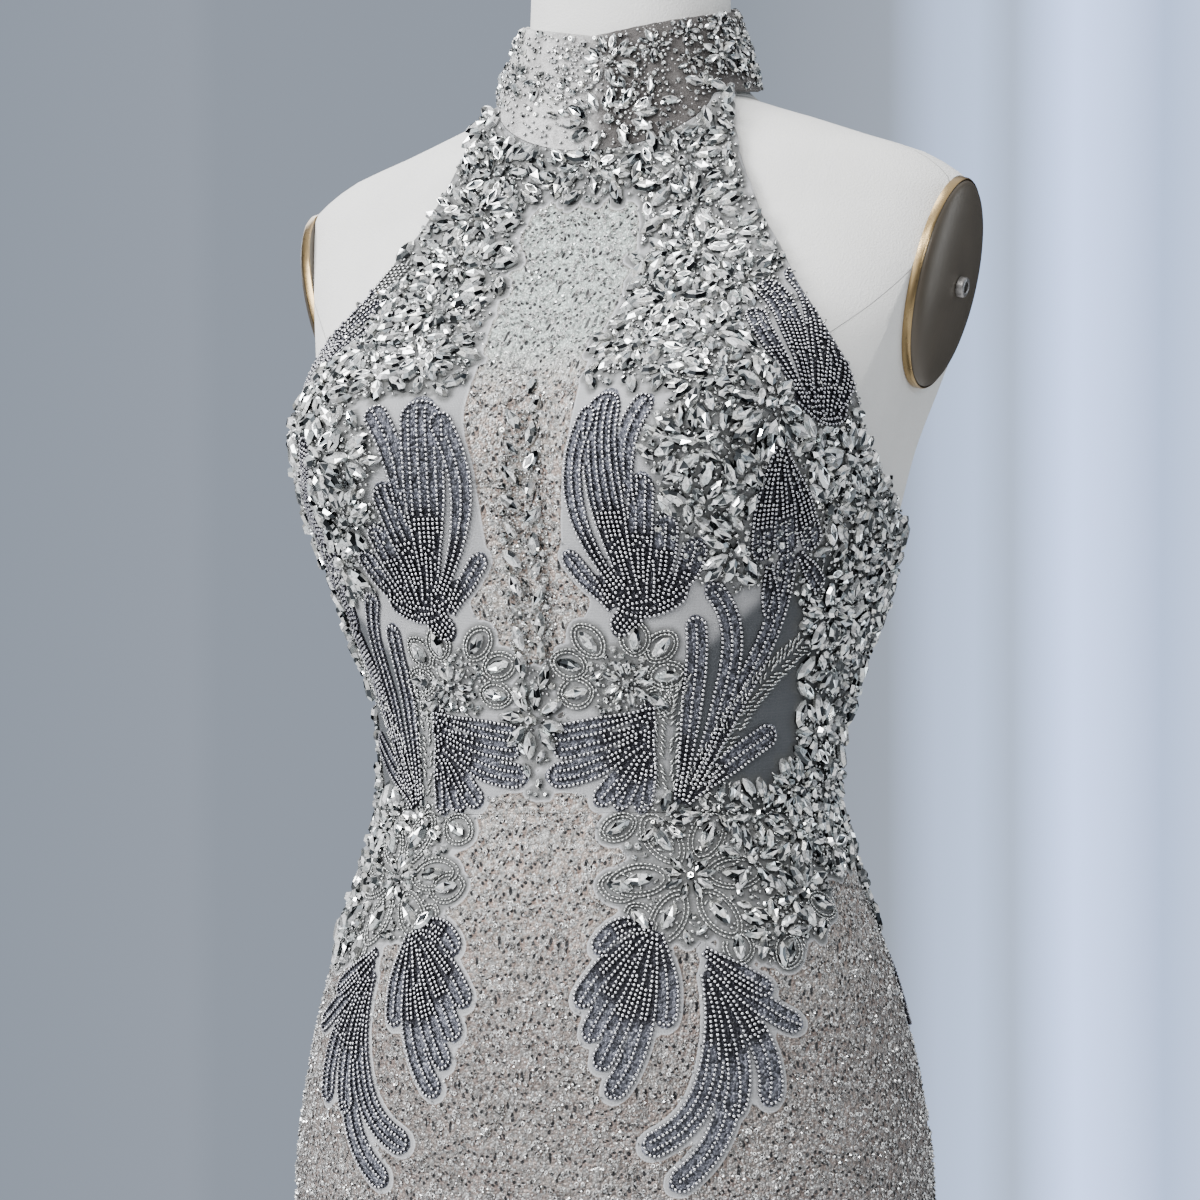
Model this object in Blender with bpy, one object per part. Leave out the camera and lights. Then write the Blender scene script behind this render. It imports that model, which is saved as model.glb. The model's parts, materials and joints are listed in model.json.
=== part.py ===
"""Halter evening gown on a limbless dress form. Metres, +Z up, the gown's front faces -Y.

The gown is cut in nine sewn pieces (bodice front, two bodice backs, skirt front, two skirt backs, stand
collar, back zip) and each is one closed wall. Its origin is on the floor, under the form's pole.
Angles go round the body in degrees: 0 at centre front, +90 at the wearer's left side, 180 at centre back.
"""
import math
from collections import namedtuple

import bmesh
import bpy
import numpy as np

# ---- Driving dimensions -------------------------------------------------------------------------------
WALL = 0.0018              # cloth with its net and its beading backing
HIP_CLEARANCE = 0.0010     # from the form's cover to the inside of the cloth, at the hips
CHEST_CLEARANCE = 0.0030   # above the underarm, where the beading stiffens the cloth
HIP_LINE_Z = 0.920         # the form's widest hip
SEAM_GAP = 0.0003          # between two sewn pieces, and between any two seated pieces
FROND_HEIGHT = 0.0020      # beaded leaf applique above the cloth
STONE_HEIGHT = 0.0030      # set crystals above the cloth
APPLIQUE_EDGE = 0.008      # width over which an applique falls back to the cloth

HEM_Z = 0.012
HIP_Z = 0.850              # the fitted hip ends here and the skirt's long rows begin
WAIST_Z = 1.105            # waist seam
UNDERARM_Z = 1.258         # top of the side seams
BACK_LOW_Z = 1.142         # lowest point of the open back, at centre back
SIDE_SEAM = 100.0          # degrees
ZIP_END_Z = 0.930          # lower end of the back zip
ZIP_WIDTH = 0.0034

COLUMN_STEP = 5.0          # degrees between the outer wall's columns
HIP_ROWS = 16
SKIRT_ROWS = 14
SIDE_ROWS = 12             # bodice rows below the underarm
CHEST_ROWS = 16            # bodice rows from the underarm to the collar
COLLAR_ROWS = 4
COLLAR_SIDE_COLUMNS = 12   # collar columns from the halter's corner to centre back

FLUTES = 10                # soft flutes round the hem
FLUTE_TOP_Z = 0.52         # where the flutes begin
FLUTE_DEPTH = 0.022        # at the hem

FORM_BOTTOM_Z = 0.780
NECK_TOP_Z = 1.580
CUP_EASE = 0.0030          # the form's bust is this much flatter than the cups

PLATE_CENTRE = (0.172, 0.036, 1.388)
PLATE_TILT = 14.0          # degrees, the top leaning outward
PLATE_HALF_HEIGHT = 0.057
PLATE_HALF_DEPTH = 0.042
PLATE_RIM = 0.004
PLATE_DOME = 0.008
SCREW_RADIUS = 0.0055
SCREW_HOLE = 0.0028
SCREW_LENGTH = 0.004

POLE_RADIUS = 0.014
FLANGE_RADIUS = 0.045
FLANGE_THICKNESS = 0.006
LEG_REACH = 0.200
LEG_WIDTH = 0.038
LEG_THICKNESS = 0.012
HUB_RADIUS = 0.030
HUB_HEIGHT = 0.045

# ---- Body sections ------------------------------------------------------------------------------------
# One row a height: half the width, where the widest line lies in Y, the depth in front of and behind that
# line, and how square the section is (2 is an ellipse).
Section = namedtuple("Section", "z half_width shift front back square")

TORSO = (
    Section(0.780, 0.160, 0.000, 0.108, 0.112, 2.25),
    Section(0.860, 0.167, 0.000, 0.112, 0.126, 2.25),
    Section(0.920, 0.168, 0.000, 0.116, 0.130, 2.25),
    Section(0.980, 0.159, 0.000, 0.116, 0.120, 2.25),
    Section(1.030, 0.146, 0.000, 0.111, 0.105, 2.25),
    Section(1.075, 0.129, 0.000, 0.102, 0.092, 2.25),
    Section(1.120, 0.118, 0.001, 0.094, 0.083, 2.25),
    Section(1.160, 0.121, 0.003, 0.097, 0.086, 2.25),
    Section(1.210, 0.136, 0.007, 0.108, 0.096, 2.25),
    Section(1.260, 0.150, 0.013, 0.117, 0.104, 2.25),
    Section(1.300, 0.158, 0.019, 0.118, 0.110, 2.25),
    Section(1.340, 0.172, 0.027, 0.109, 0.114, 2.25),
    Section(1.375, 0.187, 0.033, 0.092, 0.112, 2.25),
    Section(1.405, 0.194, 0.036, 0.076, 0.104, 2.20),
    Section(1.435, 0.192, 0.036, 0.062, 0.093, 2.05),
    Section(1.454, 0.172, 0.035, 0.057, 0.080, 1.90),
    Section(1.470, 0.129, 0.032, 0.051, 0.072, 1.80),
    Section(1.481, 0.098, 0.030, 0.048, 0.066, 1.85),
    Section(1.490, 0.072, 0.028, 0.047, 0.060, 2.00),
    Section(1.515, 0.056, 0.027, 0.046, 0.053, 2.10),
    Section(1.580, 0.053, 0.026, 0.046, 0.052, 2.10),
)

# The skirt leaves the form at the hip, narrows at the knee and flares to the hem.
SKIRT = (
    Section(0.012, 0.350, 0.000, 0.335, 0.365, 2.05),
    Section(0.100, 0.300, 0.000, 0.286, 0.314, 2.10),
    Section(0.200, 0.246, 0.000, 0.232, 0.260, 2.15),
    Section(0.300, 0.201, 0.000, 0.188, 0.214, 2.20),
    Section(0.400, 0.170, 0.000, 0.156, 0.182, 2.25),
    Section(0.500, 0.155, 0.000, 0.138, 0.162, 2.25),
    Section(0.600, 0.153, 0.000, 0.129, 0.150, 2.25),
    Section(0.700, 0.158, 0.000, 0.122, 0.142, 2.25),
    Section(0.800, 0.166, 0.000, 0.117, 0.135, 2.25),
    Section(0.860, 0.169, 0.000, 0.116, 0.131, 2.25),
)

Bust = namedtuple("Bust", "x z rise inner outer up down")
CUPS = Bust(x=0.090, z=1.306, rise=0.046, inner=0.072, outer=0.056, up=0.050, down=0.062)
FORM_BUST = CUPS._replace(rise=CUPS.rise - CUP_EASE, inner=CUPS.outer)

# ---- Cut lines ----------------------------------------------------------------------------------------
# Halter front, from the underarm to the collar: the row's height at centre front, and the angle and
# height at which it meets the cut edge.
HalterRow = namedtuple("HalterRow", "front_z edge_deg edge_z")
HALTER = (
    HalterRow(1.2580, 100.0, 1.2580),
    HalterRow(1.2700, 90.5, 1.2690),
    HalterRow(1.2850, 80.5, 1.2835),
    HalterRow(1.3000, 71.5, 1.2990),
    HalterRow(1.3150, 65.5, 1.3150),
    HalterRow(1.3330, 58.5, 1.3330),
    HalterRow(1.3520, 48.5, 1.3530),
    HalterRow(1.3750, 38.0, 1.3780),
    HalterRow(1.3950, 32.0, 1.4010),
    HalterRow(1.4150, 28.0, 1.4230),
    HalterRow(1.4330, 27.0, 1.4450),
    HalterRow(1.4470, 36.0, 1.4680),
    HalterRow(1.4585, 56.0, 1.4880),
)

# Collar: where its seam and its top edge lie round the neck. Between centre front and the halter's corner
# the seam follows the bodice's last row.
CollarLine = namedtuple("CollarLine", "deg seam_z top_z")
COLLAR = (
    CollarLine(0.0, 1.4585, 1.521),
    CollarLine(56.0, 1.4880, 1.531),
    CollarLine(90.0, 1.4915, 1.537),
    CollarLine(130.0, 1.5000, 1.546),
    CollarLine(180.0, 1.5080, 1.553),
)
COLLAR_STAND_OFF = 0.0024  # of the collar's top edge from the neck

# ---- Applique -----------------------------------------------------------------------------------------
# Each row lies on both sides of centre front. A frond finger runs from its base to its tip; bow is how far
# its middle bends to the side, as a share of its length; half_width is at the middle.
Finger = namedtuple("Finger", "base_deg base_z tip_deg tip_z bow half_width")
FRONDS = (
    Finger(24.0, 1.202, 16.0, 1.316, 0.04, 0.021),    # bust frond and its lobes
    Finger(21.0, 1.208, 7.5, 1.239, 0.10, 0.008),
    Finger(24.0, 1.212, 30.0, 1.247, -0.10, 0.009),
    Finger(61.0, 1.307, 31.0, 1.374, 0.10, 0.012),    # shoulder frond
    Finger(62.0, 1.306, 40.0, 1.384, 0.10, 0.012),
    Finger(63.0, 1.305, 52.0, 1.358, 0.08, 0.010),
    Finger(62.0, 1.226, 47.0, 1.290, 0.06, 0.014),    # side frond
    Finger(32.0, 1.112, 34.0, 1.207, 0.10, 0.009),    # palm at the waist
    Finger(33.0, 1.112, 41.0, 1.221, 0.12, 0.010),
    Finger(34.0, 1.112, 53.0, 1.219, 0.14, 0.010),
    Finger(36.0, 1.116, 67.0, 1.195, 0.12, 0.009),
    Finger(34.0, 1.110, 66.0, 1.150, 0.12, 0.008),
    Finger(26.0, 1.158, 4.5, 1.150, 0.10, 0.009),     # frond under the bust flower
    Finger(26.0, 1.152, 3.5, 1.124, 0.10, 0.009),
    Finger(27.0, 1.146, 14.0, 1.110, 0.08, 0.009),
    Finger(24.0, 1.047, 13.5, 0.962, -0.06, 0.012),   # inner hip frond
    Finger(22.0, 1.045, 9.0, 1.009, 0.06, 0.008),
    Finger(25.0, 1.040, 26.0, 0.997, -0.06, 0.008),
    Finger(36.0, 1.033, 18.5, 0.934, -0.10, 0.010),   # outer hip frond
    Finger(36.0, 1.026, 24.0, 0.914, -0.12, 0.009),
    Finger(37.0, 1.034, 57.0, 1.002, 0.10, 0.009),
    Finger(37.0, 1.028, 48.0, 0.975, 0.06, 0.010),
    Finger(124.0, 1.048, 116.0, 0.962, -0.06, 0.012),  # back hip fronds
    Finger(126.0, 1.040, 133.0, 0.975, 0.06, 0.010),
    Finger(152.0, 1.050, 160.0, 0.968, 0.06, 0.012),
    Finger(150.0, 1.044, 143.0, 0.985, -0.06, 0.009),
)

# Clusters of set crystals: centre and radius.
Cluster = namedtuple("Cluster", "deg z radius")
CLUSTERS = (
    Cluster(0.0, 1.444, 0.024),     # rosette below the collar
    Cluster(19.0, 1.447, 0.022),    # halter band
    Cluster(19.5, 1.420, 0.022),
    Cluster(21.0, 1.390, 0.024),
    Cluster(20.0, 1.357, 0.022),
    Cluster(30.0, 1.338, 0.022),
    Cluster(42.0, 1.325, 0.022),    # bust crystals
    Cluster(36.0, 1.300, 0.024),
    Cluster(50.0, 1.300, 0.024),
    Cluster(32.0, 1.276, 0.018),
    Cluster(43.0, 1.266, 0.024),
    Cluster(45.0, 1.240, 0.020),
    Cluster(66.0, 1.284, 0.020),    # side crystals
    Cluster(76.0, 1.268, 0.018),
    Cluster(88.0, 1.250, 0.018),
    Cluster(78.0, 1.236, 0.018),
    Cluster(90.0, 1.216, 0.018),
    Cluster(82.0, 1.186, 0.016),
    Cluster(80.0, 1.150, 0.016),
    Cluster(19.0, 1.179, 0.030),    # flower under the bust
    Cluster(35.0, 1.072, 0.034),    # hip flower
    Cluster(52.0, 1.080, 0.018),
    Cluster(66.0, 1.062, 0.020),
    Cluster(55.0, 1.043, 0.016),
    Cluster(112.0, 1.222, 0.018),   # along the open back
    Cluster(124.0, 1.196, 0.018),
    Cluster(138.0, 1.168, 0.018),
    Cluster(154.0, 1.142, 0.016),
    Cluster(112.0, 1.176, 0.016),
    Cluster(120.0, 1.072, 0.026),
    Cluster(150.0, 1.076, 0.026),
)
VINE_TOP_Z = 1.319         # the vine of stones down centre front
VINE_LOW_Z = 1.166
VINE_HALF_WIDTH = 0.006

# ---- Colours ------------------------------------------------------------------------------------------
Finish = namedtuple("Finish", "colour roughness metallic")
CLOTH = Finish((0.60, 0.57, 0.53, 1.0), 0.45, 0.0)
BEADED = Finish((0.52, 0.53, 0.55, 1.0), 0.35, 0.3)
ZIP_TAPE = Finish((0.55, 0.52, 0.48, 1.0), 0.6, 0.0)
COVER = Finish((0.74, 0.74, 0.72, 1.0), 0.85, 0.0)
BRONZE = Finish((0.15, 0.12, 0.10, 1.0), 0.45, 0.6)
CHROME = Finish((0.70, 0.70, 0.71, 1.0), 0.2, 1.0)
IRON = Finish((0.03, 0.03, 0.03, 1.0), 0.5, 0.0)


# ---- Curves and sections ------------------------------------------------------------------------------
def smooth_curve(xs, ys):
    """A monotone cubic through the points (xs, ys), which never overshoots them."""
    xs = np.array(xs, float)
    ys = np.array(ys, float)
    step = np.diff(xs)
    slope = np.diff(ys) / step
    tangent = np.zeros(len(xs))
    tangent[0] = slope[0]
    tangent[-1] = slope[-1]
    for i in range(1, len(xs) - 1):
        if slope[i - 1] * slope[i] > 0:
            before = 2 * step[i] + step[i - 1]
            after = step[i] + 2 * step[i - 1]
            tangent[i] = (before + after) / (before / slope[i - 1] + after / slope[i])

    def curve(x):
        x = np.clip(x, xs[0], xs[-1])
        i = np.clip(np.searchsorted(xs, x) - 1, 0, len(xs) - 2)
        t = (x - xs[i]) / step[i]
        start = (1 + 2 * t) * (1 - t) ** 2 * ys[i] + t * (1 - t) ** 2 * step[i] * tangent[i]
        end = t * t * (3 - 2 * t) * ys[i + 1] + t * t * (t - 1) * step[i] * tangent[i + 1]
        return start + end

    return curve


def column_curves(rows):
    """One curve for each column of a table, over its first column."""
    first = [row[0] for row in rows]
    return [smooth_curve(first, column) for column in list(zip(*rows))[1:]]


def smoothstep(x):
    x = np.clip(x, 0.0, 1.0)
    return x * x * (3 - 2 * x)


def body_surface(sections, bust):
    """A function of angle and height that gives points of the body made from these sections."""
    half_width, shift, front, back, square = column_curves(sections)

    def point(deg, z):
        angle = np.radians(deg)
        z = np.asarray(z, float) + 0 * angle
        sine = np.sin(angle)
        cosine = np.cos(angle)
        power = 2 / square(z)
        x = half_width(z) * np.sign(sine) * np.abs(sine) ** power
        depth = np.where(cosine > 0, front(z), back(z))
        y = shift(z) - depth * np.sign(cosine) * np.abs(cosine) ** power
        side = np.abs(x) - bust.x
        spread = np.where(side < 0, bust.inner, bust.outer)
        height = z - bust.z
        rise = np.where(height > 0, bust.up, bust.down)
        swell = bust.rise * np.exp(-(side / spread) ** 2 - (height / rise) ** 2)
        swell = swell * smoothstep(cosine * 2.5)
        y = y - swell
        x = x + 0.35 * swell * np.sign(x) * np.clip(np.abs(x) / bust.x, 0, 1)
        return np.stack([x, y, z], -1)

    return point


def with_flutes(surface):
    """The surface with soft flutes that grow towards the hem."""

    def point(deg, z):
        base = surface(deg, z)
        grow = smoothstep((FLUTE_TOP_Z - base[..., 2]) / (FLUTE_TOP_Z - HEM_Z)) ** 1.3
        angle = np.radians(deg)
        wave = np.cos(FLUTES * angle) + 0.25 * np.cos((FLUTES // 2) * angle + 0.6)
        radius = np.hypot(base[..., 0], base[..., 1])
        scale = 1 + FLUTE_DEPTH * grow * wave / radius
        return np.stack([base[..., 0] * scale, base[..., 1] * scale, base[..., 2]], -1)

    return point


def normals(surface, deg, z):
    """Outward unit normals of a surface."""
    small_deg = 0.02
    small_z = 0.0002
    across = surface(deg + small_deg, z) - surface(deg - small_deg, z)
    up = surface(deg, z + small_z) - surface(deg, z - small_z)
    normal = np.cross(across, up)
    return normal / np.linalg.norm(normal, axis=-1, keepdims=True)


def degrees_for(surface, length, deg, z):
    """The angle that spans this length on the surface."""
    across = surface(deg + 0.5, z) - surface(deg - 0.5, z)
    return length / np.linalg.norm(across, axis=-1)


def clearance(z):
    """How far the inside of the cloth stands off the form at a height."""
    share = smoothstep((z - HIP_LINE_Z) / (UNDERARM_Z - HIP_LINE_Z))
    return (HIP_CLEARANCE + (CHEST_CLEARANCE - HIP_CLEARANCE) * share)[..., None]


form_surface = body_surface(TORSO, FORM_BUST)
cloth_rows = SKIRT + tuple(row for row in TORSO if row.z > SKIRT[-1].z)
cloth_surface = with_flutes(body_surface(cloth_rows, CUPS))


# ---- Applique relief ----------------------------------------------------------------------------------
def finger_distance(finger, deg, z):
    """Distance from points to a frond finger's edge, negative inside it."""
    middle_deg = (finger.base_deg + finger.tip_deg) / 2
    middle_z = (finger.base_z + finger.tip_z) / 2
    per_metre = degrees_for(cloth_surface, 1.0, middle_deg, middle_z)
    base = np.array([finger.base_deg / per_metre, finger.base_z])
    tip = np.array([finger.tip_deg / per_metre, finger.tip_z])
    along = tip - base
    length = np.linalg.norm(along)
    side = np.array([along[1], -along[0]]) / length
    points = np.stack([deg / per_metre, z], -1)
    nearest = np.full(deg.shape, 1.0)
    for step in range(9):
        share = step / 8
        bend = finger.bow * length * math.sin(math.pi * share)
        centre = base + along * share + side * bend
        width = finger.half_width * (0.45 + 0.55 * math.sin(math.pi * (0.12 + 0.76 * share)))
        reach = np.linalg.norm(points - centre, axis=-1) - width
        nearest = np.minimum(nearest, reach)
    return nearest


def cluster_distance(cluster, deg, z):
    """Distance from points to a crystal cluster's edge, negative inside it."""
    per_metre = degrees_for(cloth_surface, 1.0, cluster.deg, cluster.z)
    return np.hypot((deg - cluster.deg) / per_metre, z - cluster.z) - cluster.radius


def raised(distance, height):
    return height * smoothstep(0.5 - distance / APPLIQUE_EDGE)


def applique(deg, z):
    """Height of the applique above the cloth, the same on both sides of centre front."""
    deg = np.abs(np.asarray(deg, float))
    z = np.asarray(z, float)
    relief = np.zeros(deg.shape)
    for finger in FRONDS:
        relief = np.maximum(relief, raised(finger_distance(finger, deg, z), FROND_HEIGHT))
    for cluster in CLUSTERS:
        relief = np.maximum(relief, raised(cluster_distance(cluster, deg, z), STONE_HEIGHT))
    from_vine = deg / degrees_for(cloth_surface, 1.0, 0.0, 1.24) - VINE_HALF_WIDTH
    beyond = np.maximum(VINE_LOW_Z - z, z - VINE_TOP_Z)
    relief = np.maximum(relief, raised(np.maximum(from_vine, beyond), FROND_HEIGHT))
    return relief


# ---- Mesh tools ---------------------------------------------------------------------------------------
def clear_scene():
    for thing in list(bpy.data.objects):
        bpy.data.objects.remove(thing, do_unlink=True)


def make_material(name, finish):
    material = bpy.data.materials.new(name)
    material.use_nodes = True
    shader = material.node_tree.nodes["Principled BSDF"]
    shader.inputs["Base Color"].default_value = finish.colour
    shader.inputs["Roughness"].default_value = finish.roughness
    shader.inputs["Metallic"].default_value = finish.metallic
    material.diffuse_color = finish.colour
    return material


def add_object(name, bm, material, root):
    """Close the mesh's normals outward and place it as one named piece."""
    bmesh.ops.recalc_face_normals(bm, faces=bm.faces)
    if bm.calc_volume(signed=True) < 0:
        bmesh.ops.reverse_faces(bm, faces=bm.faces)
    mesh = bpy.data.meshes.new(name)
    bm.to_mesh(mesh)
    bm.free()
    mesh.materials.append(material)
    mesh.shade_smooth()
    mesh.set_sharp_from_angle(angle=math.radians(35))
    piece = bpy.data.objects.new(name, mesh)
    piece.parent = root
    bpy.context.collection.objects.link(piece)
    return piece


def grid_faces(bm, grid, flip):
    """Two triangles for each cell of a grid of vertices."""
    for lower, upper in zip(grid[:-1], grid[1:]):
        for a, b, c, d in zip(lower[:-1], lower[1:], upper[1:], upper[:-1]):
            for corners in ((a, b, c), (a, c, d)):
                bm.faces.new(corners[::-1] if flip else corners)


def rim_faces(bm, inner, outer, picks):
    """Join an inner edge to an outer edge; picks are the outer steps that the inner edge has."""
    for i in range(len(picks) - 1):
        start, end = picks[i], picks[i + 1]
        for j in range(start, end - 1):
            bm.faces.new((inner[i], outer[j], outer[j + 1]))
        bm.faces.new((inner[i], outer[end - 1], inner[i + 1]))
        bm.faces.new((inner[i + 1], outer[end - 1], outer[end]))


def cloth_wall(name, inside, outside, material, root, inner_rows=None, inner_columns=None):
    """A closed wall: a fine outer grid, a plain inner grid with fewer steps, and a rim round both."""
    rows = inner_rows or list(range(0, len(outside), 2))
    columns_used = inner_columns or list(range(0, len(outside[0]), 2))
    bm = bmesh.new()
    outer = [[bm.verts.new(p) for p in row] for row in outside]
    inner = [[bm.verts.new(inside[r][c]) for c in columns_used] for r in rows]
    grid_faces(bm, outer, False)
    grid_faces(bm, inner, True)
    rim_faces(bm, inner[0], outer[0], columns_used)
    rim_faces(bm, inner[-1], outer[-1], columns_used)
    rim_faces(bm, [row[0] for row in inner], [row[0] for row in outer], rows)
    rim_faces(bm, [row[-1] for row in inner], [row[-1] for row in outer], rows)
    return add_object(name, bm, material, root)


def panel(name, deg, z, material, root, mitre=None, inner_rows=None, inner_columns=None):
    """A cloth piece over a grid of angles and heights; mitre gives the last row's own directions."""
    base = cloth_surface(deg, z)
    out = normals(cloth_surface, deg, z)
    inside = base + out * clearance(z)
    if mitre is not None:
        out[-1] = mitre
    outside = inside + out * (WALL + applique(deg, z))[..., None]
    return cloth_wall(name, inside, outside, material, root, inner_rows, inner_columns)


def even(low, high, steps):
    return np.linspace(low, high, steps + 1)


# ---- Rows and columns shared by the pieces ------------------------------------------------------------
def skirt_heights():
    hem_to_hip = even(HEM_Z, HIP_Z, SKIRT_ROWS)
    hip_to_waist = even(HIP_Z, WAIST_Z - SEAM_GAP / 2, HIP_ROWS)
    return np.concatenate([hem_to_hip, hip_to_waist[1:]])


def side_heights():
    return even(WAIST_Z + SEAM_GAP / 2, UNDERARM_Z, SIDE_ROWS)


def columns(low, high):
    return even(low, high, int(round((high - low) / COLUMN_STEP)))


def pull_in(deg, z, near_gap, far_gap):
    """Move a panel's two edge columns off its seam lines by these lengths."""
    deg = deg.copy()
    deg[:, 0] += degrees_for(cloth_surface, near_gap, deg[:, 0], z[:, 0])
    deg[:, -1] -= degrees_for(cloth_surface, far_gap, deg[:, -1], z[:, -1])
    return deg


def centre_back_gap(z):
    """How far the back panels stop from centre back: beside the zip, or at the plain seam."""
    beside_zip = ZIP_WIDTH / 2 + SEAM_GAP
    return np.where(z > ZIP_END_Z, beside_zip, SEAM_GAP / 2)


# ---- The gown's pieces --------------------------------------------------------------------------------
def build_skirt(material, root):
    """Three panels. The inner wall keeps every row and column of the flutes, and half the hip's rows."""
    half = SEAM_GAP / 2
    heights = skirt_heights()
    rows = list(range(SKIRT_ROWS)) + list(range(SKIRT_ROWS, len(heights), 2))
    deg, z = np.meshgrid(columns(-SIDE_SEAM, SIDE_SEAM), heights)
    every = list(range(deg.shape[1]))
    panel("skirt_front", pull_in(deg, z, half, half), z, material, root, None, rows, every)
    deg, z = np.meshgrid(columns(SIDE_SEAM, 180.0), heights)
    every = list(range(deg.shape[1]))
    deg = pull_in(deg, z, half, centre_back_gap(z[:, -1]))
    panel("skirt_back_left", deg, z, material, root, None, rows, every)
    panel("skirt_back_right", -deg[:, ::-1], z, material, root, None, rows, every)


def build_bodice_front(material, root):
    """Straight to the underarm, then cut in to the halter and up to the collar seam."""
    half = SEAM_GAP / 2
    edge_deg, edge_z = column_curves(HALTER)
    low = side_heights()
    high = even(UNDERARM_Z, HALTER[-1].front_z - half, CHEST_ROWS)[1:]
    front_z = np.concatenate([low, high])
    share = even(-1.0, 1.0, int(round(2 * SIDE_SEAM / COLUMN_STEP)))
    reach = np.where(front_z > UNDERARM_Z, edge_deg(front_z), SIDE_SEAM)
    at_edge = np.where(front_z > UNDERARM_Z, edge_z(front_z), front_z)
    deg = reach[:, None] * share[None, :]
    z = front_z[:, None] + (at_edge - front_z)[:, None] * smoothstep(np.abs(share))[None, :]
    deg = pull_in(deg, z, half, half)
    panel("bodice_front", deg, z, material, root, mitre=collar_mitre(deg[-1]))


def build_bodice_backs(material, root):
    """From the waist seam to the open back's curved edge."""
    half = SEAM_GAP / 2
    across = columns(SIDE_SEAM, 180.0)
    to_side = (180.0 - across) / (180.0 - SIDE_SEAM)
    edge = BACK_LOW_Z + (UNDERARM_Z - BACK_LOW_Z) * to_side ** 1.6
    low = WAIST_Z + half
    share = (side_heights() - low) / (UNDERARM_Z - low)
    deg = np.repeat(across[None, :], len(share), axis=0)
    z = low + share[:, None] * (edge - low)[None, :]
    deg = pull_in(deg, z, half, centre_back_gap(z[:, -1]))
    panel("bodice_back_left", deg, z, material, root)
    panel("bodice_back_right", -deg[:, ::-1], z[:, ::-1], material, root)


def build_zip(material, root):
    """The closed concealed zip, between the back panels."""
    share, z = np.meshgrid(even(-1, 1, 2), even(ZIP_END_Z + 0.018, BACK_LOW_Z - 0.001, 12))
    deg = 180.0 + share * degrees_for(cloth_surface, ZIP_WIDTH / 2, 180.0, z)
    base = cloth_surface(deg, z)
    out = normals(cloth_surface, deg, z)
    inside = base + out * clearance(z)
    cloth_wall("zip", inside, inside + out * WALL * 0.8, material, root)


def collar_seam_z(deg):
    """Height of the collar seam: the bodice's own curve across the front, then the collar's table."""
    corner = HALTER[-1]
    front = corner.front_z + (corner.edge_z - corner.front_z) * smoothstep(np.abs(deg) / corner.edge_deg)
    behind = column_curves(COLLAR[1:])[0](np.abs(deg))
    return np.where(np.abs(deg) < corner.edge_deg, front, behind)


def collar_lines(deg):
    """Points of the collar's seam and top edge, on the inside of the cloth."""
    seam_height = collar_seam_z(deg)
    top_height = column_curves(COLLAR)[1](np.abs(deg))
    seam = cloth_surface(deg, seam_height)
    seam = seam + normals(cloth_surface, deg, seam_height) * clearance(seam_height)
    top_out = normals(cloth_surface, deg, top_height)
    top_out[..., 2] = 0
    top = cloth_surface(deg, top_height) + top_out * COLLAR_STAND_OFF
    return seam, top


def collar_normals(deg):
    near = collar_lines(deg - 0.5)
    far = collar_lines(deg + 0.5)
    seam, top = collar_lines(deg)
    normal = np.cross(far[0] + far[1] - near[0] - near[1], top - seam)
    return normal / np.linalg.norm(normal, axis=-1, keepdims=True)


def collar_mitre(deg):
    """The direction that halves the corner between the bodice and the collar."""
    both = normals(cloth_surface, deg, collar_seam_z(deg)) + collar_normals(deg)
    return both / np.linalg.norm(both, axis=-1, keepdims=True)


def build_collar(material, root):
    """A stand band round the neck, closed at centre back edge to edge."""
    slit = math.degrees(SEAM_GAP / 2 / TORSO[-2].back)
    corner = HALTER[-1].edge_deg
    front = even(-corner, corner, int(round(2 * SIDE_SEAM / COLUMN_STEP)))
    behind = even(corner, 180.0 - slit, COLLAR_SIDE_COLUMNS)[1:]
    across = np.concatenate([-behind[::-1], front, behind])
    seam, top = collar_lines(across)
    seam = seam + np.array([0, 0, SEAM_GAP])
    out = collar_normals(across)
    share = even(0.0, 1.0, COLLAR_ROWS)[:, None, None]
    inside = seam[None] + (top - seam)[None] * share
    outward = np.repeat(out[None], COLLAR_ROWS + 1, axis=0)
    outward[0] = collar_mitre(across)
    stones = STONE_HEIGHT * smoothstep(np.minimum(share, 1 - share) * 4)
    stones = stones * smoothstep((180.0 - np.abs(across)) / 6)[None, :, None]
    outside = inside + outward * (WALL + stones)
    cloth_wall("collar", inside, outside, material, root)


# ---- The form and its stand ---------------------------------------------------------------------------
def plate_frame(side):
    """Centre, outward axis, upward axis and front-to-back axis of an arm plate."""
    tilt = math.radians(PLATE_TILT)
    centre = np.array([side * PLATE_CENTRE[0], PLATE_CENTRE[1], PLATE_CENTRE[2]])
    outward = np.array([side * math.cos(tilt), 0.0, -math.sin(tilt)])
    upward = np.array([side * math.sin(tilt), 0.0, math.cos(tilt)])
    return centre, outward, upward, np.array([0.0, 1.0, 0.0])


def form_heights():
    """The inner wall's own rows up to the chest, then closer rows over the shoulders."""
    hip = skirt_heights()[SKIRT_ROWS::2]
    side = side_heights()[2::2]
    chest = even(UNDERARM_Z, TORSO[13].z, 7)[1:]
    shoulder = even(TORSO[13].z, TORSO[18].z, 10)[1:]
    neck = even(TORSO[18].z, NECK_TOP_Z, 4)[1:]
    return np.concatenate([[FORM_BOTTOM_Z], hip, side, chest, shoulder, neck])


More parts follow.
